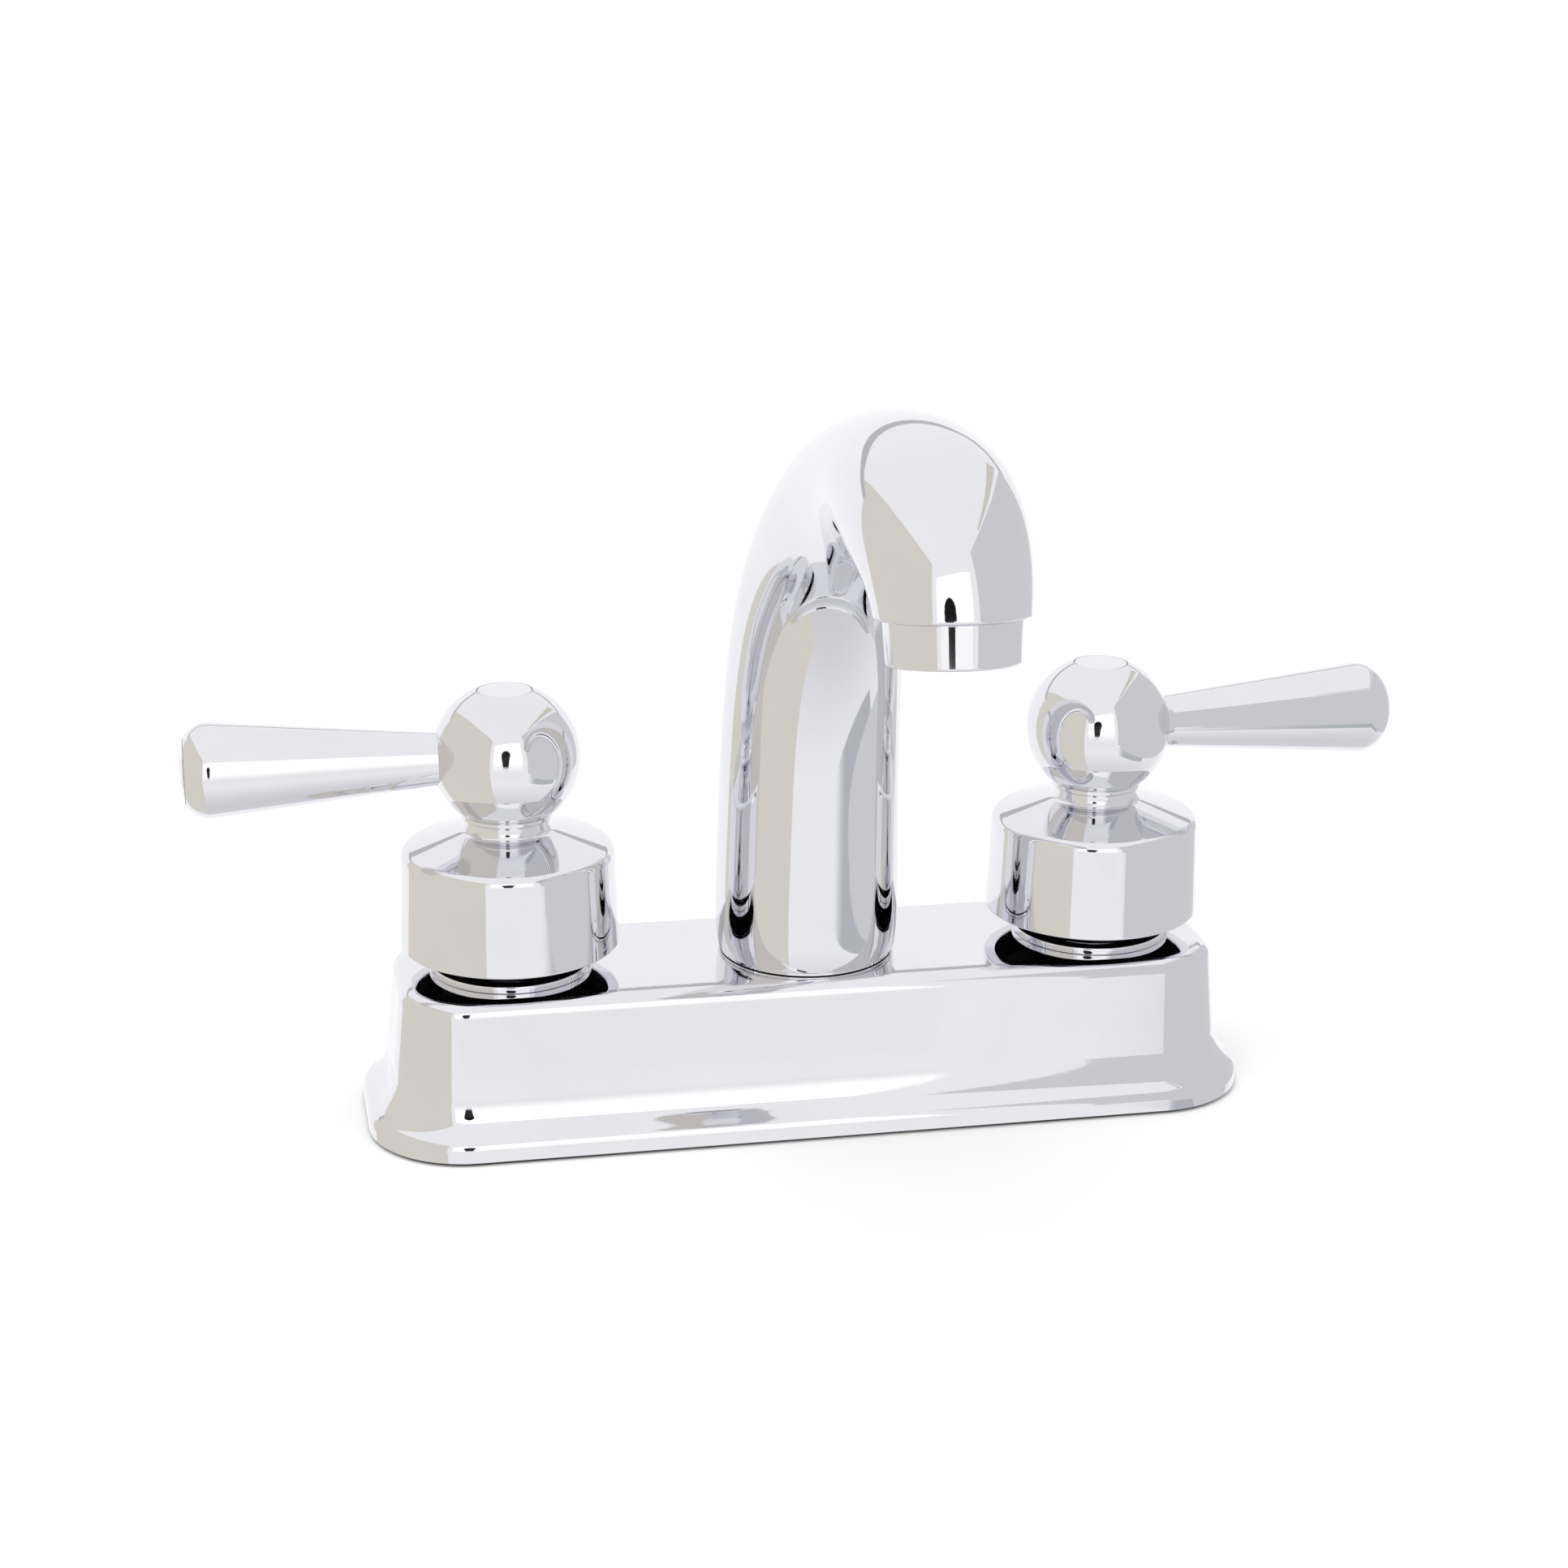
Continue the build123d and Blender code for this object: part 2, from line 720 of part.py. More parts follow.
def build_valve_side(name, side, rest_turn):
    """Every piece of one handle and its valve, on that handle's axis."""
    place = Pos(side * side_offset, 0, 0)
    pieces = {
        "shank": shank(),
        "mounting_nut": mounting_nut(),
        "mounting_washer": mounting_washer(),
        "seat_seal": seat_seal(),
        "fixed_disc": ceramic_disc(disc_floor, 0),
        "moving_disc": ceramic_disc(disc_floor + disc_thickness, 90),
        "cartridge_body": cartridge_body(),
        "cartridge_ring": cartridge_ring(),
        "stem": stem(),
        "stem_ring": stem_ring(),
        "stem_clip": stem_clip(),
        "bonnet_nut": bonnet_nut(),
        "skirt": handle_skirt(),
        "lever": lever(side),
        "handle_screw": handle_screw(),
        "index_button": index_button(),
    }
    for piece, solid in pieces.items():
        turn = rest_turn if piece in turning_pieces else 0
        save(f"{name}_{piece}", place * Rot(0, 0, turn) * solid)


os.makedirs("parts", exist_ok=True)
save("deck_shell", deck_shell())
save("deck_gasket", pocket_sheet(0, gasket_thickness))
save("base_plate", pocket_sheet(gasket_thickness, body_seat))
save("valve_body", valve_body())
save("spout", spout())
save("spout_nipple", spout_nipple())
save("spout_seal", spout_seal())
save("nipple_ring", nipple_ring())
save("aerator_housing", aerator_housing())
save("aerator_insert", aerator_insert())
save("aerator_screen", aerator_screen())
save("aerator_washer", aerator_washer())
build_valve_side("hot", -1, hot_rest_turn)
build_valve_side("cold", 1, cold_rest_turn)
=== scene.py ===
# %% [markdown]
# # A centreset bathroom faucet in mirror chrome
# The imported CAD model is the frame: it fixes every size and every joint. This lesson dresses it.
# Mirror chrome shows nothing of itself, only what stands round it, so half of the work is smooth
# surfaces and the other half is a small studio for them to reflect.

# %% Load the frame
import json
import math

import bmesh
import bpy
import numpy as np
from mathutils import Matrix, Vector


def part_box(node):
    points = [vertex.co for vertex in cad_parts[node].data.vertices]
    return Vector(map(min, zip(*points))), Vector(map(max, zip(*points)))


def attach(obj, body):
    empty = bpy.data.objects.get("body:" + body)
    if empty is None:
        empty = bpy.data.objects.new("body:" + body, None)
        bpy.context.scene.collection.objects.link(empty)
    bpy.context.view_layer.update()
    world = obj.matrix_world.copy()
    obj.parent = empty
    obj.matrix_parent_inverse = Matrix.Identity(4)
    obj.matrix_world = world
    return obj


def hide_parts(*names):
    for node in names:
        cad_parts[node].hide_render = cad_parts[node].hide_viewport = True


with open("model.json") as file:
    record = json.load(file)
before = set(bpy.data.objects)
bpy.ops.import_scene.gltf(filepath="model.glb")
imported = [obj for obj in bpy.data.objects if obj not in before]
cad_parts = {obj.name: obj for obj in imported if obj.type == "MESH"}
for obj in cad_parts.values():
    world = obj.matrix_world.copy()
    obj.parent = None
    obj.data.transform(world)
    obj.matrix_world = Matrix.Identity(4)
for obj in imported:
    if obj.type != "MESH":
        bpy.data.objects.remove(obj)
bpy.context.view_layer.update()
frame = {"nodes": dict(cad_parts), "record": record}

mm = 0.001

# %% [markdown]
# ## The camera
# The photograph looks down a little from the user's left. The place, the lens and the small shift
# of the lens were fitted to the handle axes, the skirts' rims and the foot of the shell.
# A camera looks along its own minus Z, so its matrix is built from three directions at right
# angles: right, up and back.

# %% Camera
view_azimuth = math.radians(-11.917)
view_elevation = math.radians(18.875)
view_roll = math.radians(0.746)
view_distance = 504.078 * mm
view_target = Vector((1.56 * mm, 0, 49.78 * mm))
sensor_width = 36
focal_length = 68.18
lens_shift = (-0.0204, 0.0191)
nearest_seen = 10 * mm


def camera_matrix():
    """The camera's matrix from its azimuth, elevation, roll, distance and target."""
    level = math.cos(view_elevation)
    back = Vector(
        (math.sin(view_azimuth) * level, -math.cos(view_azimuth) * level, math.sin(view_elevation))
    )
    right = Vector((math.cos(view_azimuth), math.sin(view_azimuth), 0))
    up = back.cross(right)
    turned_right = right * math.cos(view_roll) + up * math.sin(view_roll)
    turned_up = up * math.cos(view_roll) - right * math.sin(view_roll)
    matrix = Matrix((turned_right, turned_up, back)).transposed().to_4x4()
    matrix.translation = view_target + back * view_distance
    return matrix


camera_data = bpy.data.cameras.new("camera")
camera_data.sensor_width = sensor_width
camera_data.lens = focal_length
camera_data.shift_x, camera_data.shift_y = lens_shift
camera_data.clip_start = nearest_seen
camera = bpy.data.objects.new("camera", camera_data)
camera.matrix_world = camera_matrix()
bpy.context.scene.collection.objects.link(camera)
bpy.context.scene.camera = camera
bpy.context.scene.view_settings.view_transform = "Standard"
print("camera at", [round(x / mm) for x in camera.matrix_world.translation])

# %% [markdown]
# ## Materials
# Each finish is a small node tree on Object coordinates, so a pattern stays at its real size.
# The helpers below start a material, add one node, add a noise of a known size, and turn that
# noise into a number, a colour or a relief. The last one, surface, makes a whole finish with them.

# %% Material helpers
noise_range = (0.3, 0.7)  # a noise hardly ever leaves this range
noise_detail = 3.0
grain_share = 6  # the grain is this much finer than the patches of colour


def start_material(name, roughness, metallic=0.0):
    """A new material with its shader; uniform numbers are set on the shader's own sockets."""
    material = bpy.data.materials.new(name)
    material.use_nodes = True
    shader = material.node_tree.nodes["Principled BSDF"]
    shader.inputs["Roughness"].default_value = roughness
    shader.inputs["Metallic"].default_value = metallic
    return material, shader


def add_node(material, kind, **settings):
    """One more node, with its settings."""
    node = material.node_tree.nodes.new(kind)
    for key, value in settings.items():
        setattr(node, key, value)
    return node


def add_noise(material, size, stretch):
    """A noise whose lumps are about as wide as the size given, in metres."""
    links = material.node_tree.links
    coordinates = add_node(material, "ShaderNodeTexCoord")
    mapping = add_node(material, "ShaderNodeMapping")
    mapping.inputs["Scale"].default_value = stretch
    noise = add_node(material, "ShaderNodeTexNoise")
    noise.inputs["Scale"].default_value = 1 / size
    noise.inputs["Detail"].default_value = noise_detail
    links.new(coordinates.outputs["Object"], mapping.inputs["Vector"])
    links.new(mapping.outputs["Vector"], noise.inputs["Vector"])
    return noise


def spread(material, noise, low, high):
    """Turns a noise into a number between two values."""
    ranged = add_node(material, "ShaderNodeMapRange")
    ranged.inputs["From Min"].default_value = noise_range[0]
    ranged.inputs["From Max"].default_value = noise_range[1]
    ranged.inputs["To Min"].default_value = low
    ranged.inputs["To Max"].default_value = high
    material.node_tree.links.new(noise.outputs["Fac"], ranged.inputs["Value"])
    return ranged.outputs["Result"]


def colour_between(material, noise, first, second):
    """A colour that wanders between two with a noise."""
    mix = add_node(material, "ShaderNodeMix", data_type="RGBA")
    mix.inputs["A"].default_value = (*first, 1)
    mix.inputs["B"].default_value = (*second, 1)
    links = material.node_tree.links
    links.new(spread(material, noise, 0, 1), mix.inputs["Factor"])
    return mix.outputs["Result"]


def add_bump(material, shader, noise, height):
    """Lets a noise raise the surface by a height in metres."""
    bump = add_node(material, "ShaderNodeBump")
    bump.inputs["Strength"].default_value = 1.0
    bump.inputs["Distance"].default_value = height
    links = material.node_tree.links
    links.new(noise.outputs["Fac"], bump.inputs["Height"])
    links.new(bump.outputs["Normal"], shader.inputs["Normal"])


def surface(name, first, second, roughness, size, bump, metallic=0.0, stretch=(1, 1, 1)):
    """A finish from two close colours, a range of roughness, and fine relief."""
    material, shader = start_material(name, roughness[0], metallic)
    links = material.node_tree.links
    patches = add_noise(material, size, stretch)
    links.new(colour_between(material, patches, first, second), shader.inputs["Base Color"])
    grain = add_noise(material, size / grain_share, stretch)
    links.new(spread(material, grain, *roughness), shader.inputs["Roughness"])
    add_bump(material, shader, grain, bump)
    return material


# %% [markdown]
# Plated castings aren't optically flat. The polishing wheel leaves slow waves a few millimetres
# wide, which is why straight edges wobble in them, and water leaves faint dull spots. So the
# chrome gets a bump of a few thousandths of a millimetre and a roughness that hardly leaves zero.
# The castings are chromed on the outside only. Inside a skirt the metal is bare and dull, and its
# colour is painted almost black as painted shade for the unlit hollow; that is what makes the
# black crescents which the shell mirrors below each skirt.
# Each finish names two colours, a range of roughness, the size of its patches, the height of its
# relief, how metallic it is, and for turned parts the axis along which the marks are pressed thin.

# %% Finishes
metal = 1.0
turned_upright = (1, 1, 8)
turned_across = (1, 9, 1)
chrome = surface(
    "chrome",
    (0.79, 0.79, 0.825),
    (0.81, 0.81, 0.845),
    (0.02, 0.06),
    14 * mm,
    0.003 * mm,
    metal,
)
# Bare dull metal painted almost black: painted shade for the unlit hollows under the skirts and
# inside the shell.
bare_casting_painted_shade = surface(
    "bare_casting_painted_shade", (0.012, 0.012, 0.013), (0.03, 0.03, 0.03), (0.5, 0.7), 3 * mm, 0.05 * mm
)
brass = surface(
    "brass",
    (0.62, 0.44, 0.17),
    (0.74, 0.56, 0.27),
    (0.22, 0.4),
    2 * mm,
    0.01 * mm,
    metal,
    turned_upright,
)
rubber = surface(
    "rubber", (0.02, 0.02, 0.021), (0.04, 0.04, 0.042), (0.6, 0.8), 2 * mm, 0.03 * mm
)
white_plastic = surface(
    "white_plastic", (0.78, 0.78, 0.74), (0.84, 0.84, 0.81), (0.35, 0.5), 4 * mm, 0.02 * mm
)
ceramic = surface(
    "ceramic", (0.82, 0.81, 0.77), (0.88, 0.87, 0.84), (0.12, 0.2), 2 * mm, 0.002 * mm
)
steel = surface(
    "steel",
    (0.5, 0.5, 0.51),
    (0.62, 0.62, 0.63),
    (0.2, 0.35),
    1.5 * mm,
    0.004 * mm,
    metal,
    turned_across,
)
finishes = {
    "chrome": chrome,
    "brass": brass,
    "rubber": rubber,
    "white_plastic": white_plastic,
    "ceramic": ceramic,
    "steel": steel,
}
for row in frame["record"]["subparts"]:
    node = frame["nodes"][row["node"]]
    node.data.materials.clear()
    node.data.materials.append(finishes[row["material_slot"]])
print(len(frame["nodes"]), "CAD pieces have a finish")

# %% [markdown]
# ## The studio
# The faucet stood between two cards: a warm grey one on its left and a cool grey one on its right.
# Between their front edges a bright soft box faces the faucet, and the camera stands before it.
# Where each card stands was read from the mirrored edges: an edge that two balls mirror in
# different directions has only one place where both directions meet. A white wall stood behind the
# faucet, and its upper edge is the thin grey arc near the top of the hood. Every card is a flat
# sheet, a grid with its corners moved. They are hidden from the camera and light nothing, so that
# they are seen in reflections only and don't stand in the way of other views.
# The soft box is dimmer towards the table. The foot of the cool card slopes away, and a sheet of
# painted shade stands behind its front corner: the shell's wall mirrors the table's shade there.


# %% Card helpers
def glow(name, first, second=None, axis="X", start=0.0, end=1.0):
    """A plain light-giving material; with a second colour it fades to it along an axis."""
    material = bpy.data.materials.new(name)
    material.use_nodes = True
    nodes, links = material.node_tree.nodes, material.node_tree.links
    nodes.remove(nodes["Principled BSDF"])
    emission = add_node(material, "ShaderNodeEmission")
    emission.inputs["Color"].default_value = (*first, 1)
    links.new(emission.outputs["Emission"], nodes["Material Output"].inputs["Surface"])
    if second:
        coordinates = add_node(material, "ShaderNodeTexCoord")
        parts = add_node(material, "ShaderNodeSeparateXYZ")
        ranged = add_node(material, "ShaderNodeMapRange", interpolation_type="SMOOTHSTEP")
        ranged.inputs["From Min"].default_value = start
        ranged.inputs["From Max"].default_value = end
        mix = add_node(material, "ShaderNodeMix", data_type="RGBA")
        mix.inputs["A"].default_value = (*first, 1)
        mix.inputs["B"].default_value = (*second, 1)
        links.new(coordinates.outputs["Object"], parts.inputs["Vector"])
        links.new(parts.outputs[axis], ranged.inputs["Value"])
        links.new(ranged.outputs["Result"], mix.inputs["Factor"])
        links.new(mix.outputs["Result"], emission.inputs["Color"])
    return material


def show_in_mirrors_only(bm, name, material):
    """Makes a stage object that only reflections see."""
    mesh = bpy.data.meshes.new(name)
    bm.to_mesh(mesh)
    bm.free()
    piece = bpy.data.objects.new(name, mesh)
    bpy.context.scene.collection.objects.link(piece)
    mesh.materials.append(material)
    piece.visible_camera = False
    piece.visible_diffuse = False
    piece.visible_shadow = False


def card(name, near, far, material):
    """An upright sheet; near and far are (x, y, low, high) of its two upright edges, in mm."""
    bm = bmesh.new()
    grid = bmesh.ops.create_grid(bm, x_segments=1, y_segments=1, size=1)
    for vert in grid["verts"]:
        x, y, low, high = near if vert.co.x < 0 else far
        vert.co = Vector((x, y, low if vert.co.y < 0 else high)) * mm
    show_in_mirrors_only(bm, name, material)


# %% Side cards
room_low = -1500
warm_top = 548
warm_glow = glow("warm_glow", (0.775, 0.745, 0.67))
card(
    "warm_card",
    (-359, -533, room_low, warm_top),
    (-934, 1613, room_low, warm_top),
    warm_glow,
)
cool_bend = -40  # below this height the card's front edge is cut back and its foot slopes
cool_glow = glow("cool_glow", (0.71, 0.706, 0.716))
card("cool_card", (162, -420, cool_bend, 500), (954, 1204, cool_bend, 380), cool_glow)
card("cool_card_low", (182, -380, -85, cool_bend), (954, 1204, -346, cool_bend), cool_glow)
trim_glow = glow("trim_glow", (0.70, 0.68, 0.59))
card("cool_card_trim", (243, -252, 500, 520), (690, 665, 480, 620), trim_glow)
# Painted shade: the table's shade beside the cool card, light at the front and darker behind.
shade_light, shade_dark = (0.97, 0.97, 0.98), (0.53, 0.555, 0.575)
table_shade_glow = glow("table_shade_glow", shade_light, shade_dark, "X", 167 * mm, 222 * mm)
card("cool_card_shade", (167, -415, -170, -45), (325, -92, -170, -100), table_shade_glow)

# %% Soft box and back wall
box_low, box_top = -110, 470
box_dim, box_bright = (0.98, 0.97, 0.96), (1.3, 1.29, 1.26)
box_glow = glow("box_glow", box_dim, box_bright, "Z", -60 * mm, 160 * mm)
card("soft_box", (-330, -600, box_low, box_top), (150, -560, box_low, box_top), box_glow)
wall_reach, wall_back, wall_top, edge_top = 1300, 700, 330, 400
back_glow = glow("back_glow", (1.03, 1.03, 1.04))
card(
    "back_card",
    (-wall_reach, wall_back, room_low, wall_top),
    (wall_reach, wall_back, room_low, wall_top),
    back_glow,
)
edge_glow = glow("edge_glow", (0.56, 0.56, 0.56))
card(
    "back_card_edge",
    (-wall_reach, wall_back, wall_top, edge_top),
    (wall_reach, wall_back, wall_top, edge_top),
    edge_glow,
)

# %% [markdown]
# The camera itself is the one black thing in the room: a round spot in the middle of every bright
# bulge, with the tripod as a tail below it. It is a disc on the camera's place and a sheet that
# narrows downwards, which fades out before it reaches the table. Both are seen in mirrors only.

# %% Camera in the mirrors
camera_front_radius = 57 * mm
bm = bmesh.new()
bmesh.ops.create_circle(bm, cap_ends=True, radius=camera_front_radius, segments=48)
bmesh.ops.transform(bm, matrix=camera_matrix(), verts=bm.verts)
show_in_mirrors_only(bm, "camera_front", glow("camera_black", (0.012, 0.012, 0.014)))

tripod_faded, tripod_dark = (0.95, 0.95, 0.95), (0.03, 0.03, 0.03)
tripod_black = glow("tripod_black", tripod_faded, tripod_dark, "Z", 30 * mm, 75 * mm)
tripod_half_top, tripod_half_foot, tripod_aside = 56 * mm, 26 * mm, 6 * mm
tripod_x, tripod_y, tripod_top = camera.matrix_world.translation
bm = bmesh.new()
grid = bmesh.ops.create_grid(bm, x_segments=1, y_segments=1, size=1)
for vert in grid["verts"]:
    half, rise = (tripod_half_top, tripod_top) if vert.co.y > 0 else (tripod_half_foot, 0)
    vert.co = (tripod_x - tripod_aside + half * vert.co.x, tripod_y, rise)
show_in_mirrors_only(bm, "tripod", tripod_black)
print("studio cards made")

# %% [markdown]
# ## Making a piece
# Every new piece ends the same way. Its faces are turned outwards, its mesh is shaded smooth but
# sharp where two faces meet at a real corner, and it rides on the CAD body that carries it.
# A weighted normal keeps the flat faces flat in the reflections, with all the bending in the small
# rounded edges. Most pieces of a faucet are turned, so the other helpers draw half an outline with
# rounded corners and spin it round an axis.

# %% Piece helpers
sharp_angle = math.radians(40)
merge_distance = 0.001 * mm
pole_distance = 0.0005 * mm
corner_steps = 8


def finish_piece(bm, name, body, material, slot, *replaced):
    """Turns a bmesh into a shown piece that rides on a body and stands for CAD nodes."""
    bmesh.ops.remove_doubles(bm, verts=bm.verts, dist=merge_distance)
    bmesh.ops.recalc_face_normals(bm, faces=bm.faces)
    mesh = bpy.data.meshes.new(name)
    bm.to_mesh(mesh)
    bm.free()
    mesh.shade_smooth()
    mesh.set_sharp_from_angle(angle=sharp_angle)
    piece = bpy.data.objects.new(name, mesh)
    bpy.context.scene.collection.objects.link(piece)
    mesh.materials.append(material)
    weighted = piece.modifiers.new("weighted normal", "WEIGHTED_NORMAL")
    weighted.keep_sharp = True
    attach(piece, body)
    if replaced:
        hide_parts(*replaced)
    print(name, len(mesh.polygons), "faces")
    return piece


def arc(centre, radius, start, end, steps):
    """Points of a round stretch; angles in degrees, 0 outwards and 90 upwards."""
    turns = [math.radians(start + (end - start) * step / steps) for step in range(steps + 1)]
    return [(centre[0] + radius * math.cos(a), centre[1] + radius * math.sin(a)) for a in turns]


def rounded(corners, radii):
    """An outline through the corners with each one rounded by its own radius; 0 keeps it sharp."""
    outline = []
    last = len(corners) - 1
    for index, (corner, radius) in enumerate(zip(corners, radii)):
        here = Vector(corner)
        if radius == 0 or index in (0, last):
            outline.append(tuple(here))
            continue
        back = (Vector(corners[index - 1]) - here).normalized()
        ahead = (Vector(corners[index + 1]) - here).normalized()
        half = back.angle(ahead) / 2
        centre = here + (back + ahead).normalized() * (radius / math.sin(half))
        from_back = here + back * (radius / math.tan(half)) - centre
        turn = from_back.angle_signed(here + ahead * (radius / math.tan(half)) - centre)
        for step in range(corner_steps + 1):
            spoke = from_back.copy()
            spoke.rotate(Matrix.Rotation(-turn * step / corner_steps, 2))
            outline.append(tuple(centre + spoke))
    return outline


def spun(outline, steps):
    """A bmesh turned round the Z axis from an outline of (radius, height)."""
    bm = bmesh.new()
    verts = [bm.verts.new((radius, 0, height)) for radius, height in outline]
    edges = [bm.edges.new(pair) for pair in zip(verts, verts[1:])]
    bmesh.ops.spin(
        bm,
        geom=verts + edges,
        cent=(0, 0, 0),
        axis=(0, 0, 1),
        angle=math.tau,
        steps=steps,
        use_merge=True,
    )
    bmesh.ops.remove_doubles(bm, verts=bm.verts, dist=pole_distance)
    return bm


# %% Handle axes
sides = {"hot": -1, "cold": 1}
rest_turns = {"hot": 0.0, "cold": 4.0}
shank_low, shank_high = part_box("cold_shank")
handle_offset = shank_low.x + (shank_high.x - shank_low.x) / 2
deck_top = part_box("deck_shell")[1].z


def on_handle(bm, side):
    """Moves a piece made round the origin to a handle's axis, with that handle's rest turn."""
    turn = Matrix.Rotation(math.radians(rest_turns[side]), 4, "Z")
    place = Matrix.Translation((sides[side] * handle_offset, 0, 0))
    bmesh.ops.transform(bm, matrix=place @ turn, verts=bm.verts)


print("handle axes at", round(handle_offset / mm, 2), "mm from the middle")
print("deck top at", round(deck_top / mm, 2), "mm")

# %% [markdown]
# ## The skirts
# A skirt is a thin bell that hovers over the shell: an almost upright wall, a sloping shoulder and
# a short flared neck. It is round, so one outline spun about the handle's axis makes it, with the
# inside wall in the same outline. The plating creeps a few millimetres in from the rim, and the
# faces above that band get the bare metal, painted almost black as painted shade inside the bell.

# %% Skirts
skirt_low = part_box("hot_skirt")[0].z
skirt_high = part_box("hot_skirt")[1].z
rim_radius = 18.35 * mm
shoulder_radius = 17.7 * mm
shoulder_height = skirt_low + 16.75 * mm
cone_rise, cone_run = 3 * mm, 9.3 * mm
cone_top = shoulder_height + cone_rise
neck_radius = 7.1 * mm
neck_flare = 1.3 * mm
skirt_wall = 2.0 * mm
wall_draft = 0.18 * mm
plated_band = skirt_low + 5 * mm
spigot_radius = 5.95 * mm


def skirt(side):
    """One skirt, outside and inside, on its handle's axis."""
    corners = [
        (spigot_radius, skirt_high),
        (neck_radius, skirt_high),
        (neck_radius, cone_top + neck_flare * cone_rise / cone_run),
        (shoulder_radius, shoulder_height),
        (rim_radius, skirt_low),
        (rim_radius - skirt_wall, skirt_low),
        (rim_radius - skirt_wall - wall_draft, plated_band),
        (shoulder_radius - skirt_wall, shoulder_height - skirt_wall),
        (spigot_radius, shoulder_height - skirt_wall),
        (spigot_radius, skirt_high),
    ]
    radii = [0, 0.35 * mm, 1.6 * mm, 1.8 * mm, 0.35 * mm, 0.3 * mm, 0, 1.5 * mm, 0, 0]
    bm = spun(rounded(corners, radii), steps=160)
    on_handle(bm, side)
    name, handle = f"{side}_skirt_bell", f"{side}_handle"
    piece = finish_piece(bm, name, handle, chrome, "chrome", f"{side}_skirt")
    # The second material is bare metal painted almost black: painted shade inside the bell.
    piece.data.materials.append(bare_casting_painted_shade)
    axis = Vector((sides[side] * handle_offset, 0))
    inside = rim_radius - skirt_wall / 2
    under_shoulder = shoulder_height - skirt_wall / 2
    for face in piece.data.polygons:
        reach = (face.center.xy - axis).length
        if reach < inside and plated_band < face.center.z < under_shoulder:
            face.material_index = 1


for side in sides:
    skirt(side)

# %% [markdown]
# ## The bonnet nuts
# Each nut clamps the shell down. Only its thin flange shows, as bright and dark rings in the gap
# under the skirt, but above it there is a round collar and a hexagon for the wrench.
# The nut is spun as if it were round all the way up. Then the points of its upper wall that stand
# further out than a flat are moved in to that flat, which is how a mill cuts a turned blank.

# %% Bonnet nuts
flange_radius = 13.6 * mm
flange_top = deck_top + 1.4 * mm
collar_top = deck_top + 5 * mm
nut_low, nut_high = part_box("hot_bonnet_nut")[0].z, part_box("hot_bonnet_nut")[1].z
nut_collar_radius = 10 * mm
hex_half_width = 9.2 * mm
nut_bore = 6.1 * mm
nut_lower_bore = 8.7 * mm
nut_thread_radius = 11.2 * mm
nut_lip_low = nut_high - 1.6 * mm
flats_low = collar_top + 0.05 * mm


def flatten_hexagon(bm):
    """Presses the round wall above the collar in to six flats."""
    sector = math.radians(60)
    for vert in bm.verts:
        angle = math.atan2(vert.co.y, vert.co.x) % sector - sector / 2
        flat = hex_half_width / math.cos(angle)
        reach = vert.co.xy.length
        if vert.co.z > collar_top + merge_distance and reach > flat:
            vert.co.xy *= flat / reach


def bonnet_nut(side):
    """One nut: thread, flange, collar, six wrench flats and the bore."""
    corners = [
        (nut_lower_bore, nut_low),
        (nut_thread_radius, nut_low),
        (nut_thread_radius, deck_top),
        (flange_radius, deck_top),
        (flange_radius, flange_top),
        (nut_collar_radius, flange_top),
        (nut_collar_radius, collar_top),
        (nut_collar_radius, flats_low),
        (nut_collar_radius, nut_high),
        (nut_bore, nut_high),
        (nut_bore, nut_lip_low),
        (nut_lower_bore, nut_lip_low),
        (nut_lower_bore, nut_low),
    ]
    radii = [0, 0.5 * mm, 0, 0.2 * mm, 0.5 * mm, 0.6 * mm, 0, 0, 0.5 * mm, 0.3 * mm, 0, 0, 0]
    bm = spun(rounded(corners, radii), steps=144)
    flatten_hexagon(bm)
    on_handle(bm, side)
    finish_piece(bm, f"{side}_bonnet", "body", chrome, "chrome", f"{side}_bonnet_nut")


for side in sides:
    bonnet_nut(side)

# %% [markdown]
# ## The levers
# Ball, collar and arm are one casting. The ball is an arc spun about the handle's axis, with a
# flat top that is bored for the button. The arm is a taper spun about its own axis, thick at its
# outer end, which is gently domed. A boolean joins the two, so that no wall is left inside the
# ball and the arm meets the ball in the crisp line that the real one shows.


# %% Boolean helper
def temporary_object(bm, name):
    """An object that only lives until a boolean has used it."""
    bmesh.ops.recalc_face_normals(bm, faces=bm.faces)
    mesh = bpy.data.meshes.new(name)
    bm.to_mesh(mesh)
    bm.free()
    holder = bpy.data.objects.new(name, mesh)
    bpy.context.scene.collection.objects.link(holder)
    return holder


def combined(first, second, operation):
    """A bmesh of two closed bmeshes joined or cut by a boolean."""
    base = temporary_object(first, "boolean base")
    tool = temporary_object(second, "boolean tool")
    boolean = base.modifiers.new("boolean", "BOOLEAN")
    boolean.operation = operation
    boolean.solver = "EXACT"
    boolean.object = tool
    bpy.context.view_layer.update()
    evaluated = base.evaluated_get(bpy.context.evaluated_depsgraph_get())
    bm = bmesh.new()
    bm.from_mesh(evaluated.to_mesh())
    evaluated.to_mesh_clear()
    for holder in (base, tool):
        mesh = holder.data
        bpy.data.objects.remove(holder)
        bpy.data.meshes.remove(mesh)
    return bm


# %% Levers
ball_radius = 12.25 * mm
collar_radius = 7.6 * mm
button_radius = 4.6 * mm
button_depth = 1.8 * mm
ball_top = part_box("hot_lever")[1].z
ball_height = ball_top - math.sqrt(ball_radius**2 - button_radius**2)
spigot_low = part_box("hot_lever")[0].z
spigot_bore = 4.05 * mm
spigot_bore_top = spigot_low + 2 * mm
spigot_outer = spigot_radius - 0.08 * mm
arm_root_radius = 4.45 * mm
arm_end_radius = 8.1 * mm
arm_reach = 52.89 * mm
arm_cap_rise = 1.9 * mm
arm_edge_radius = 4.4 * mm


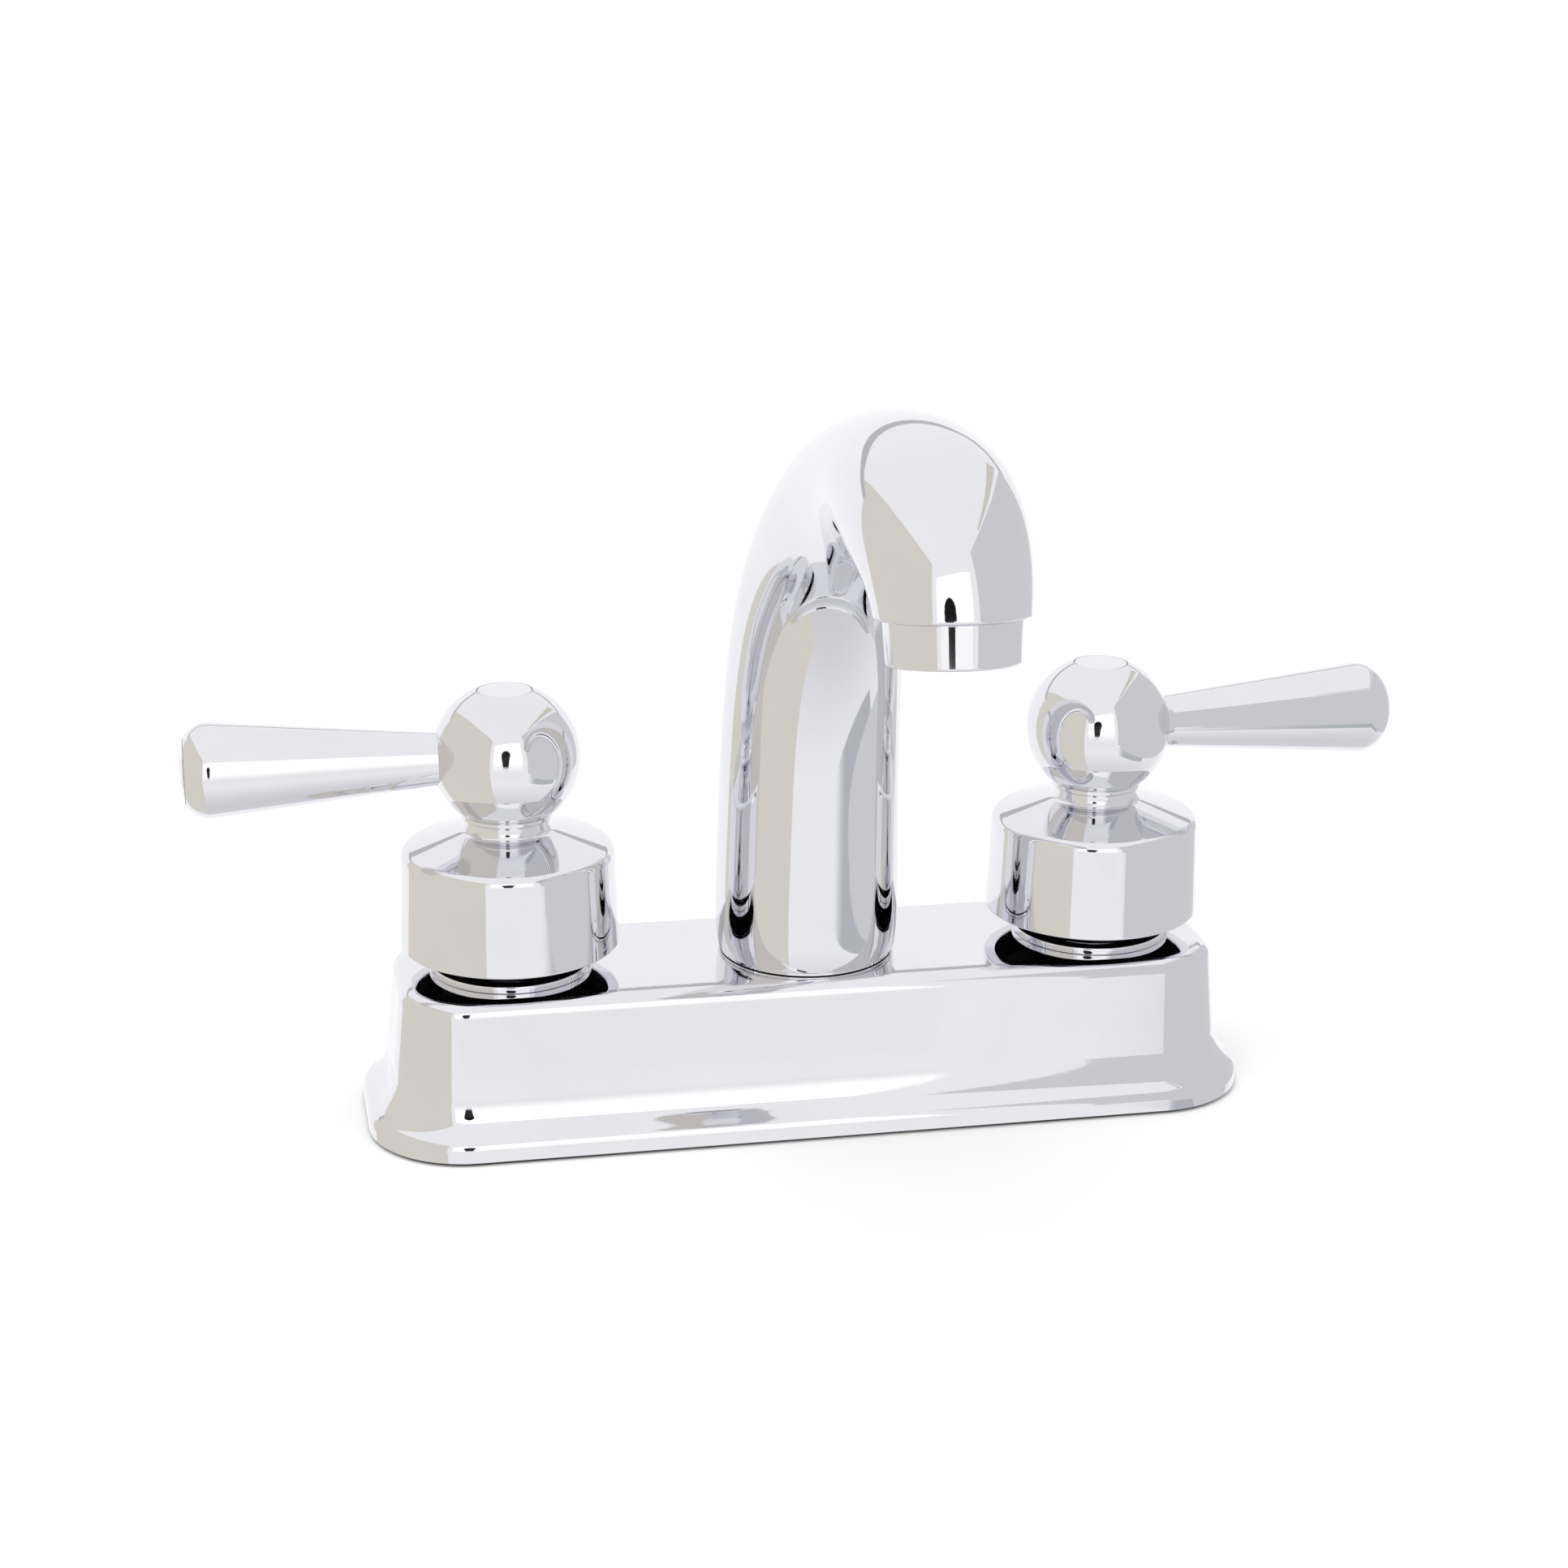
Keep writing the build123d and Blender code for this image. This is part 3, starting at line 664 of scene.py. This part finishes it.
def ball_outline():
    """From the spigot's foot up the collar, round the ball and down in to the button's bore."""
    meet = ball_height - math.sqrt(ball_radius**2 - collar_radius**2)
    start = math.degrees(math.asin((meet - ball_height) / ball_radius))
    end = math.degrees(math.asin((ball_top - ball_height) / ball_radius))
    foot = [
        (0, spigot_bore_top),
        (spigot_bore, spigot_bore_top),
        (spigot_bore, spigot_low),
        (spigot_outer, spigot_low),
        (spigot_outer, skirt_high),
    ]
    collar = rounded(
        [foot[-1], (collar_radius, skirt_high), (collar_radius, meet)], [0, 0.25 * mm, 0]
    )
    ball = arc((0, ball_height), ball_radius, start, end, steps=72)
    bore_foot = ball_top - button_depth
    lip = rounded(
        [ball[-2], ball[-1], (button_radius, bore_foot), (0, bore_foot)], [0, 0.12 * mm, 0, 0]
    )
    return foot[:-1] + collar + ball[1:-1] + lip[1:]


def arm_outline():
    """From inside the ball out along the arm, over its edge and in to the dome's middle."""
    cap_radius = (arm_end_radius**2 + arm_cap_rise**2) / (2 * arm_cap_rise)
    cap_angle = math.degrees(math.asin(arm_end_radius / cap_radius))
    dome = arc((0, arm_reach - cap_radius), cap_radius, 90 - cap_angle, 90, steps=24)
    root = ball_radius / 2
    past_edge = 8  # the rounded edge takes the place of the dome's first steps
    corners = [
        (0, root),
        (arm_root_radius, root),
        (arm_root_radius, ball_radius),
        dome[0],
        dome[past_edge],
    ]
    edge = rounded(corners, [0, 0, 2 * mm, arm_edge_radius, 0])
    return edge[:-1] + dome[past_edge:]


def lever(side):
    """The casting of one handle."""
    ball = spun(ball_outline(), steps=192)
    arm = spun(arm_outline(), steps=96)
    tip = Matrix.Rotation(math.radians(90) * sides[side], 4, "Y")
    rise = Matrix.Translation((0, 0, ball_height))
    bmesh.ops.transform(arm, matrix=rise @ tip, verts=arm.verts)
    bm = combined(ball, arm, "UNION")
    on_handle(bm, side)
    handle = f"{side}_handle"
    finish_piece(bm, f"{side}_ball_lever", handle, chrome, "chrome", f"{side}_lever")


for side in sides:
    lever(side)

# %% [markdown]
# ## The index buttons
# A plain chromed plug closes the top of each ball. It stands a hair inside its bore, and the fine
# dark line round it is that gap. The plug is turned, so half its outline is spun like the others.

# %% Index buttons
button_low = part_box("hot_index_button")[0].z
button_edge = 4.54 * mm
button_dome = 0.05 * mm
peg_radius = 3.74 * mm
peg_inner = 2.8 * mm


def button(side):
    """One plug: a slightly domed disc with a soft edge on a hollow peg."""
    plate_low = ball_top - button_depth
    top = rounded(
        [(button_edge, plate_low), (button_edge, ball_top - button_dome), (0, ball_top)],
        [0, 0.3 * mm, 0],
    )
    outline = [
        (0, plate_low),
        (peg_inner, plate_low),
        (peg_inner, button_low),
        (peg_radius, button_low),
        (peg_radius, plate_low),
    ]
    bm = spun(outline + top, steps=96)
    on_handle(bm, side)
    name, handle = f"{side}_button_plug", f"{side}_handle"
    finish_piece(bm, name, handle, chrome, "chrome", f"{side}_index_button")


for side in sides:
    button(side)

# %% [markdown]
# ## The deck shell
# The shell is a long bar with round corners and an ogee foot: a bulge, a cove that runs up into
# a wall, and a rounded upper edge. Every level of it is the same rounded rectangle, only wider or
# narrower, so one ring of points is extruded again and again and pushed outwards or inwards. The
# push of each point is away from the nearest point of the core rectangle, which keeps the corners
# round.

# %% Shell sizes
foot_half_length = 71.5 * mm
foot_half_depth = 19.1 * mm
foot_corner = 12.5 * mm
wall_slope = math.tan(math.radians(5.7))
cove_top = 10.6 * mm
flange_reach = 4.3 * mm
flange_edge = 0.6 * mm
bulge_radius = 2.4 * mm
bulge_height = 2.2 * mm
deck_edge = 2.6 * mm
deck_rim = 4 * mm
shell_wall = 2.4 * mm
ceiling_rim = 1 * mm
pocket_reach = 1.8 * mm
pocket_height = 3.8 * mm
bonnet_hole = 11.5 * mm
nipple_hole = 9.8 * mm


def foot_outline():
    """The bulge and the cove as (outward reach, height), from the foot up to the wall."""
    offset = flange_reach - bulge_radius
    rise = cove_top - bulge_height
    cove_radius = (offset**2 + rise**2 - bulge_radius**2) / (2 * flange_reach)
    turn = math.degrees(math.asin(rise / (bulge_radius + cove_radius)))
    bulge = arc((offset, bulge_height), bulge_radius, 0, turn, steps=12)
    cove = arc((cove_radius, cove_top), cove_radius, 180 + turn, 180, steps=16)
    return bulge + cove[1:]


def wall_outline():
    """The wall, the rounded edge and a narrow flat rim of the top."""
    top_reach = -wall_slope * (deck_top - cove_top)
    corners = [(0, cove_top), (top_reach, deck_top), (top_reach - deck_rim, deck_top)]
    return rounded(corners, [0, deck_edge, 0])[1:]


def inside_outline():
    """From the foot's edge in to the pocket and up the inside wall to the ceiling."""
    ceiling = deck_top - shell_wall
    top_reach = -shell_wall - wall_slope * (ceiling - cove_top)
    return [
        (flange_reach - flange_edge, 0),
        (pocket_reach, 0),
        (pocket_reach, pocket_height),
        (-shell_wall, pocket_height),
        (-shell_wall, cove_top),
        (top_reach, ceiling),
        (top_reach - ceiling_rim, ceiling),
    ]


# %% Shell rings
def first_ring(bm, reach, height):
    """A rounded rectangle of edges: one flat face whose corners are bevelled round."""
    bmesh.ops.create_grid(bm, x_segments=1, y_segments=1, size=1)
    bmesh.ops.scale(bm, vec=(foot_half_length, foot_half_depth, 1), verts=bm.verts)
    bmesh.ops.bevel(
        bm,
        geom=list(bm.verts),
        offset=foot_corner,
        affect="VERTICES",
        segments=24,
        profile=0.5,
        material=-1,
    )
    face = bm.faces[:][0]
    ring = list(face.edges)
    bmesh.ops.delete(bm, geom=[face], context="FACES_ONLY")
    push_ring(ring, reach, height)
    return ring


def push_ring(ring, reach, height):
    """Puts the points of a ring at a reach from the wall's plan and at a height."""
    core = Vector((foot_half_length - foot_corner, foot_half_depth - foot_corner))
    for vert in {v for edge in ring for v in edge.verts}:
        flat = vert.co.xy
        nearest = Vector((max(-core.x, min(core.x, flat.x)), max(-core.y, min(core.y, flat.y))))
        outwards = (flat - nearest).normalized()
        vert.co = (*(nearest + outwards * (foot_corner + reach)), height)


def extruded(bm, ring):
    """Extrudes a ring of edges where it stands, and gives back the new edges and points."""
    grown = bmesh.ops.extrude_edge_only(bm, edges=ring)["geom"]
    points = {item for item in grown if isinstance(item, bmesh.types.BMVert)}
    edges = [item for item in grown if isinstance(item, bmesh.types.BMEdge)]
    return [edge for edge in edges if points.issuperset(edge.verts)], list(points)


def grow_ring(bm, ring, outline):
    """Extrudes a ring along an outline and gives back the last ring."""
    for reach, height in outline:
        ring, _ = extruded(bm, ring)
        push_ring(ring, reach, height)
    return ring


def close_with_holes(bm, ring, height, holes):
    """Fills a ring with a flat face that has round holes, and gives back the holes' rings."""
    rings = []
    for x, radius in holes:
        place = Matrix.Translation((x, 0, height))
        made = bmesh.ops.create_circle(
            bm, cap_ends=False, radius=radius, segments=96, matrix=place
        )
        rings.append(list({edge for vert in made["verts"] for edge in vert.link_edges}))
    every_edge = ring + [edge for hole in rings for edge in hole]
    bmesh.ops.triangle_fill(bm, use_beauty=True, use_dissolve=False, edges=every_edge)
    return rings


# %% Shell
def deck_shell():
    """The whole chromed cover, outside and inside, with its three holes."""
    bm = bmesh.new()
    ring = first_ring(bm, flange_reach, flange_edge)
    upper = grow_ring(bm, ring, foot_outline() + wall_outline())
    holes = [(-handle_offset, bonnet_hole), (0, nipple_hole), (handle_offset, bonnet_hole)]
    above = close_with_holes(bm, upper, deck_top, holes)
    plated = set(bm.faces)
    inner = grow_ring(bm, ring, inside_outline())
    below = close_with_holes(bm, inner, deck_top - shell_wall, holes)
    for top_ring, low_ring in zip(above, below):
        bmesh.ops.bridge_loops(bm, edges=top_ring + low_ring)
    # The inside of the shell is bare metal painted almost black, as painted shade in the hollow.
    for face in bm.faces:
        face.material_index = 0 if face in plated else 1
    piece = finish_piece(bm, "deck_cover", "body", chrome, "chrome", "deck_shell")
    piece.data.materials.append(bare_casting_painted_shade)


deck_shell()

# %% [markdown]
# ## The spout
# The spout is one casting whose middle line climbs, leans over and turns down to the mouth. It is
# round in the column, a little flatter over the top, narrowest at the neck and wider again in the
# hood. Such a form is a row of cross-sections along a smooth line. A circle is made once, and then
# extruded, moved and scaled from section to section. The sections lie only a millimetre or two
# apart, because mirror chrome shows every facet, and the sizes between the named ones follow a
# smooth curve too. The line is given as points in the faucet's middle plane, as (Y, Z).

# %% Spout line
spout_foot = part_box("spout")[0].z
spout_points = [
    (0, spout_foot),
    (-0.7 * mm, 48 * mm),
    (-3 * mm, 70 * mm),
    (-10.3 * mm, 90 * mm),
    (-26.8 * mm, 107.8 * mm),
    (-60.8 * mm, 120.6 * mm),
    (-79.9 * mm, 120.3 * mm),
    (-94.3 * mm, 109.5 * mm),
]
mouth_tilt = math.radians(9)
mouth_direction = Vector((0, -math.sin(mouth_tilt), -math.cos(mouth_tilt)))


def smooth_through(knots, values, start_slope=None, end_slope=None):
    """A cubic curve through values at knots; a slope left out lets that end run straight."""
    knots, values = np.array(knots, float), np.array(values, float)
    count = len(knots)
    gaps = np.diff(knots)
    steepness = np.diff(values) / gaps
    matrix, right = np.zeros((count, count)), np.zeros(count)
    for i in range(1, count - 1):
        matrix[i, i - 1 : i + 2] = gaps[i], 2 * (gaps[i - 1] + gaps[i]), gaps[i - 1]
        right[i] = 3 * (gaps[i] * steepness[i - 1] + gaps[i - 1] * steepness[i])
    for end, inner, slope, gap in ((0, 1, start_slope, 0), (count - 1, count - 2, end_slope, -1)):
        matrix[end, end], right[end] = (1, slope) if slope is not None else (2, 3 * steepness[gap])
        matrix[end, inner] = 0 if slope is not None else 1
    slopes = np.linalg.solve(matrix, right)

    def value(at):
        i = int(np.clip(np.searchsorted(knots, at) - 1, 0, count - 2))
        t = (at - knots[i]) / gaps[i]
        lean = gaps[i] * slopes[i], gaps[i] * slopes[i + 1]
        early = (1 + 2 * t) * (1 - t) ** 2 * values[i] + t * (1 - t) ** 2 * lean[0]
        return early + t * t * (3 - 2 * t) * values[i + 1] + t * t * (t - 1) * lean[1]

    return value


spout_steps = [0.0]
for (y0, z0), (y1, z1) in zip(spout_points, spout_points[1:]):
    spout_steps.append(spout_steps[-1] + math.hypot(y1 - y0, z1 - z0))
foot_pull, mouth_pull = 0.82, 1.3
fine_count = 2001
mouth_slope = mouth_direction * mouth_pull
line_y = smooth_through(spout_steps, [y for y, _ in spout_points], 0, mouth_slope.y)
line_z = smooth_through(spout_steps, [z for _, z in spout_points], foot_pull, mouth_slope.z)
fine_steps = np.linspace(0, spout_steps[-1], fine_count)
fine_line = np.array([(line_y(step), line_z(step)) for step in fine_steps])
fine_lengths = np.append(0, np.cumsum(np.linalg.norm(np.diff(fine_line, axis=0), axis=1)))
spout_length = float(fine_lengths[-1])
print("spout line", round(spout_length / mm, 1), "mm long")
print("top of the line at", round(fine_line[:, 1].max() / mm, 1), "mm")

# %% Spout sections
section_shares = [0, 0.008, 0.02, 0.038, 0.1, 0.2, 0.4, 0.5, 0.6, 0.7, 0.8, 0.9, 1.0]
section_widths = [15.0, 15.25, 15.48, 15.6, 15.5, 15.1, 13.7, 12.3, 11.3, 11.1, 11.7, 12.3, 10.75]
section_depths = [15.0, 15.25, 15.5, 15.66, 15.7, 15.5, 13.7, 12.3, 10.9, 10.1, 10.8, 12.1, 10.3]
half_width = smooth_through(section_shares, section_widths)
half_depth = smooth_through(section_shares, section_depths)


def line_place(at):
    """The matrix of a section: X across, Y towards the inside of the bend, Z along the line."""
    reach = 0.02 * mm
    ends = np.clip((at - reach, at + reach), 0, spout_length)
    before, after = np.interp(ends, fine_lengths, fine_steps)
    here = float(np.interp(at, fine_lengths, fine_steps))
    run, rise = line_y(after) - line_y(before), line_z(after) - line_z(before)
    along = Vector((0, run, rise)).normalized()
    across = Vector((1, 0, 0))
    place = Matrix((across, along.cross(across), along)).transposed().to_4x4()
    place.translation = (0, line_y(here), line_z(here))
    return place


def section_sizes(share, inset=0.0):
    """The half width and half depth of the casting at a share of the line, less a wall."""
    return half_width(share) * mm - inset, half_depth(share) * mm - inset


# %% Spout casting
foot_bore_radius = 9.5 * mm
foot_bore_depth = 14 * mm
foot_radius = 14.7 * mm
foot_lip = 0.42 * mm
lip_radius = 14.3 * mm
mouth_bore_radius = 8.16 * mm
mouth_bore_depth = 7.6 * mm
hood_draw = 6.2 * mm
hood_draw_share = 0.12
section_count = 150
end_edge = 0.35 * mm
edge_steps = 5


def move_ring(bm, points, before, after):
    """Carries the points of a section from one place and size to the next."""
    bmesh.ops.transform(bm, matrix=after @ before.inverted(), verts=points)


def front_draw(share):
    """How far the hood's front is drawn back, so that it still slopes outwards at the mouth."""
    rest = min(1.0, (1 - share) / hood_draw_share)
    return hood_draw * rest * (1 - rest) ** 2


def section_matrix(at, inset=0.0):
    """Place and size of the casting's section at a length along the line."""
    share = at / spout_length
    width, depth = section_sizes(share, inset)
    draw = front_draw(share) / 2
    shift = Matrix.Translation((0, -draw, 0))
    return line_place(at) @ shift @ Matrix.Diagonal((width, depth - draw, 1, 1))


def section_stops():
    """Lengths and insets of the sections, with both ends rounded off by a small edge."""
    edge = end_edge
    quarter = [math.radians(90 * step / edge_steps) for step in range(edge_steps + 1)]
    foot = [(edge * (1 - math.sin(a)), edge * (1 - math.cos(a))) for a in reversed(quarter)]
    stretch = spout_length - 2 * edge
    middle = [(edge + stretch * i / section_count, 0) for i in range(1, section_count)]
    mouth = [(spout_length - length, inset) for length, inset in reversed(foot)]
    return foot + middle + mouth


def bored(bm, ring, place, before, radius, depth):
    """Sinks a round blind bore in to an open end; depth runs along the place's Z."""
    for reach, level in ((radius, 0), (radius, depth)):
        after = place @ Matrix.Translation((0, 0, level)) @ Matrix.Diagonal((reach, reach, 1, 1))
        ring, points = extruded(bm, ring)
        move_ring(bm, points, before, after)
        before = after
    bmesh.ops.edgeloop_fill(bm, edges=ring)


def spout_casting():
    """Column, neck and hood as one row of sections, closed by a bore at each end."""
    bm = bmesh.new()
    stops = section_stops()
    first = section_matrix(*stops[0])
    made = bmesh.ops.create_circle(bm, cap_ends=False, radius=1, segments=144, matrix=first)
    foot_ring = list({edge for vert in made["verts"] for edge in vert.link_edges})
    ring, before = foot_ring, first
    for at, inset in stops[1:]:
        after = section_matrix(at, inset)
        ring, points = extruded(bm, ring)
        move_ring(bm, points, before, after)
        before = after
    bored(bm, ring, line_place(spout_length), before, mouth_bore_radius, -mouth_bore_depth)
    start = line_place(0)
    lip = start @ Matrix.Translation((0, 0, -foot_lip))
    for place, radius in ((lip, foot_radius), (lip, lip_radius), (start, lip_radius)):
        after = place @ Matrix.Diagonal((radius, radius, 1, 1))
        foot_ring, points = extruded(bm, foot_ring)
        move_ring(bm, points, first, after)
        first = after
    bored(bm, foot_ring, start, first, foot_bore_radius, foot_bore_depth)
    finish_piece(bm, "spout_casting", "body", chrome, "chrome", "spout")


spout_casting()

# %% [markdown]
# ## The seal under the spout
# A thin rubber washer keeps water out of the joint between the spout and the shell. Its edge is
# the fine dark line round the foot. A washer could be cut from a disc, but spinning its square
# section gives all four faces at once.

# %% Foot seal
seal_low, seal_high = (corner.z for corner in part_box("spout_seal"))
seal_bore = foot_bore_radius + 1 * mm
seal_radius = lip_radius - 0.05 * mm


def foot_seal():
    """The rubber washer, a hair smaller than the spout's lower lip."""
    corners = [
        (seal_bore, seal_low),
        (seal_radius, seal_low),
        (seal_radius, seal_high),
        (seal_bore, seal_high),
        (seal_bore, seal_low),
    ]
    bm = spun(corners, steps=96)
    finish_piece(bm, "foot_seal", "body", rubber, "rubber", "spout_seal")


foot_seal()

# %% [markdown]
# ## The aerator's housing
# Below the mouth sits a separate ring that screws up into the hood. It is turned on a lathe, so
# it is spun here, with fine edges, a lip that holds the screen and a thread above. Its place is
# the mouth of the spout, and its axis is the direction of the water.

# %% Aerator housing
housing_top_radius = 9.6 * mm
housing_low_radius = 9.2 * mm
housing_height = 6.3 * mm
housing_thread_radius = 8.1 * mm
housing_thread_length = 6 * mm
housing_bore = 6.9 * mm
housing_lip_bore = 6.1 * mm
housing_lip = 0.9 * mm


def aerator_ring():
    """The chromed ring with its thread, hung from the mouth."""
    corners = [
        (housing_bore, -housing_thread_length),
        (housing_thread_radius, -housing_thread_length),
        (housing_thread_radius, 0),
        (housing_top_radius, 0),
        (housing_low_radius, housing_height),
        (housing_lip_bore, housing_height),
        (housing_lip_bore, housing_height - housing_lip),
        (housing_bore, housing_height - housing_lip),
        (housing_bore, -housing_thread_length),
    ]
    radii = [0, 0.3 * mm, 0, 0.3 * mm, 0.5 * mm, 0.25 * mm, 0, 0, 0]
    bm = spun(rounded(corners, radii), steps=128)
    bmesh.ops.transform(bm, matrix=line_place(spout_length), verts=bm.verts)
    finish_piece(bm, "aerator_ring", "body", chrome, "chrome", "aerator_housing")


aerator_ring()

# %% [markdown]
# ## Floor
# The floor is pale and keeps the faint shadow of the faucet. The photograph's background is pure
# white, so for the camera alone the floor gives off a little light of its own: least near the
# faucet, where the shadow lies, and more with the distance.

# %% Floor
floor_half = 6
lift_distance = (0.3, 1.2)
lift_strength = (0.13, 0.6)
floor_material = surface(
    "pale_floor", (0.92, 0.92, 0.92), (0.94, 0.94, 0.94), (0.7, 0.8), 60 * mm, 0.02 * mm
)
floor_shader = floor_material.node_tree.nodes["Principled BSDF"]
floor_path = add_node(floor_material, "ShaderNodeLightPath")
floor_place = add_node(floor_material, "ShaderNodeTexCoord")
floor_reach = add_node(floor_material, "ShaderNodeVectorMath", operation="LENGTH")
floor_lift = add_node(floor_material, "ShaderNodeMapRange")
floor_lift.inputs["From Min"].default_value = lift_distance[0]
floor_lift.inputs["From Max"].default_value = lift_distance[1]
floor_lift.inputs["To Min"].default_value = lift_strength[0]
floor_lift.inputs["To Max"].default_value = lift_strength[1]
floor_seen = add_node(floor_material, "ShaderNodeMath", operation="MULTIPLY")
floor_links = floor_material.node_tree.links
floor_links.new(floor_place.outputs["Object"], floor_reach.inputs[0])
floor_links.new(floor_reach.outputs["Value"], floor_lift.inputs["Value"])
floor_links.new(floor_lift.outputs["Result"], floor_seen.inputs[0])
floor_links.new(floor_path.outputs["Is Camera Ray"], floor_seen.inputs[1])
floor_links.new(floor_seen.outputs["Value"], floor_shader.inputs["Emission Strength"])
floor_shader.inputs["Emission Color"].default_value = (1, 1, 1, 1)
bm = bmesh.new()
bmesh.ops.create_grid(bm, x_segments=8, y_segments=8, size=floor_half)
mesh = bpy.data.meshes.new("floor")
bm.to_mesh(mesh)
bm.free()
floor = bpy.data.objects.new("floor", mesh)
bpy.context.scene.collection.objects.link(floor)
mesh.materials.append(floor_material)
floor.visible_glossy = False
print("floor", 2 * floor_half, "m wide")

# %% [markdown]
# ## World and lamp
# The world gives an even light from everywhere. The camera and the chrome see it at full strength,
# and matt surfaces get a little less of it, so that they keep their own colour. Steeply below the
# horizon it darkens to a pale grey. Reflections don't see the floor piece, so this grey is the
# table that the chrome mirrors. One large soft lamp overhead gives the shadow a direction.

# %% World
table_grey = (0.73, 0.73, 0.75, 1)
table_end = 0.52  # one more than the Z of the direction in which the grey ends
matt_strength, full_strength = 0.78, 1.0
world = bpy.data.worlds.new("studio")
bpy.context.scene.world = world
world.use_nodes = True
world_nodes, world_links = world.node_tree.nodes, world.node_tree.links
background = world_nodes["Background"]
direction = world_nodes.new("ShaderNodeTexCoord")
height = world_nodes.new("ShaderNodeSeparateXYZ")
low_light = world_nodes.new("ShaderNodeValToRGB")
low_light.color_ramp.elements[0].position = 0.0
low_light.color_ramp.elements[0].color = table_grey
low_light.color_ramp.elements[1].position = table_end
low_light.color_ramp.elements[1].color = (1, 1, 1, 1)
world_links.new(direction.outputs["Generated"], height.inputs["Vector"])
above = world_nodes.new("ShaderNodeMath")
above.operation = "ADD"
above.inputs[1].default_value = 1.0
world_links.new(height.outputs["Z"], above.inputs[0])
world_links.new(above.outputs["Value"], low_light.inputs["Fac"])
world_links.new(low_light.outputs["Color"], background.inputs["Color"])
path = world_nodes.new("ShaderNodeLightPath")
seen = path.outputs["Is Camera Ray"]
for kind in ("Is Glossy Ray", "Is Transmission Ray"):
    either = world_nodes.new("ShaderNodeMath")
    either.operation = "MAXIMUM"
    world_links.new(seen, either.inputs[0])
    world_links.new(path.outputs[kind], either.inputs[1])
    seen = either.outputs["Value"]
strength = world_nodes.new("ShaderNodeMapRange")
strength.inputs["To Min"].default_value = matt_strength
strength.inputs["To Max"].default_value = full_strength
world_links.new(seen, strength.inputs["Value"])
world_links.new(strength.outputs["Result"], background.inputs["Strength"])

# %% Lamp
lamp_width = 0.7
lamp_power = 4.0
lamp_data = bpy.data.lights.new("overhead", "AREA")
lamp_data.shape = "DISK"
lamp_data.size = lamp_width
lamp_data.energy = lamp_power
lamp = bpy.data.objects.new("overhead", lamp_data)
lamp.location = (-0.15, -0.1, 1.0)
lamp.rotation_euler = (math.radians(-6), math.radians(-8), 0)
lamp.visible_glossy = False
bpy.context.scene.collection.objects.link(lamp)
print("lamp", lamp_width, "m wide,", lamp_power, "W")
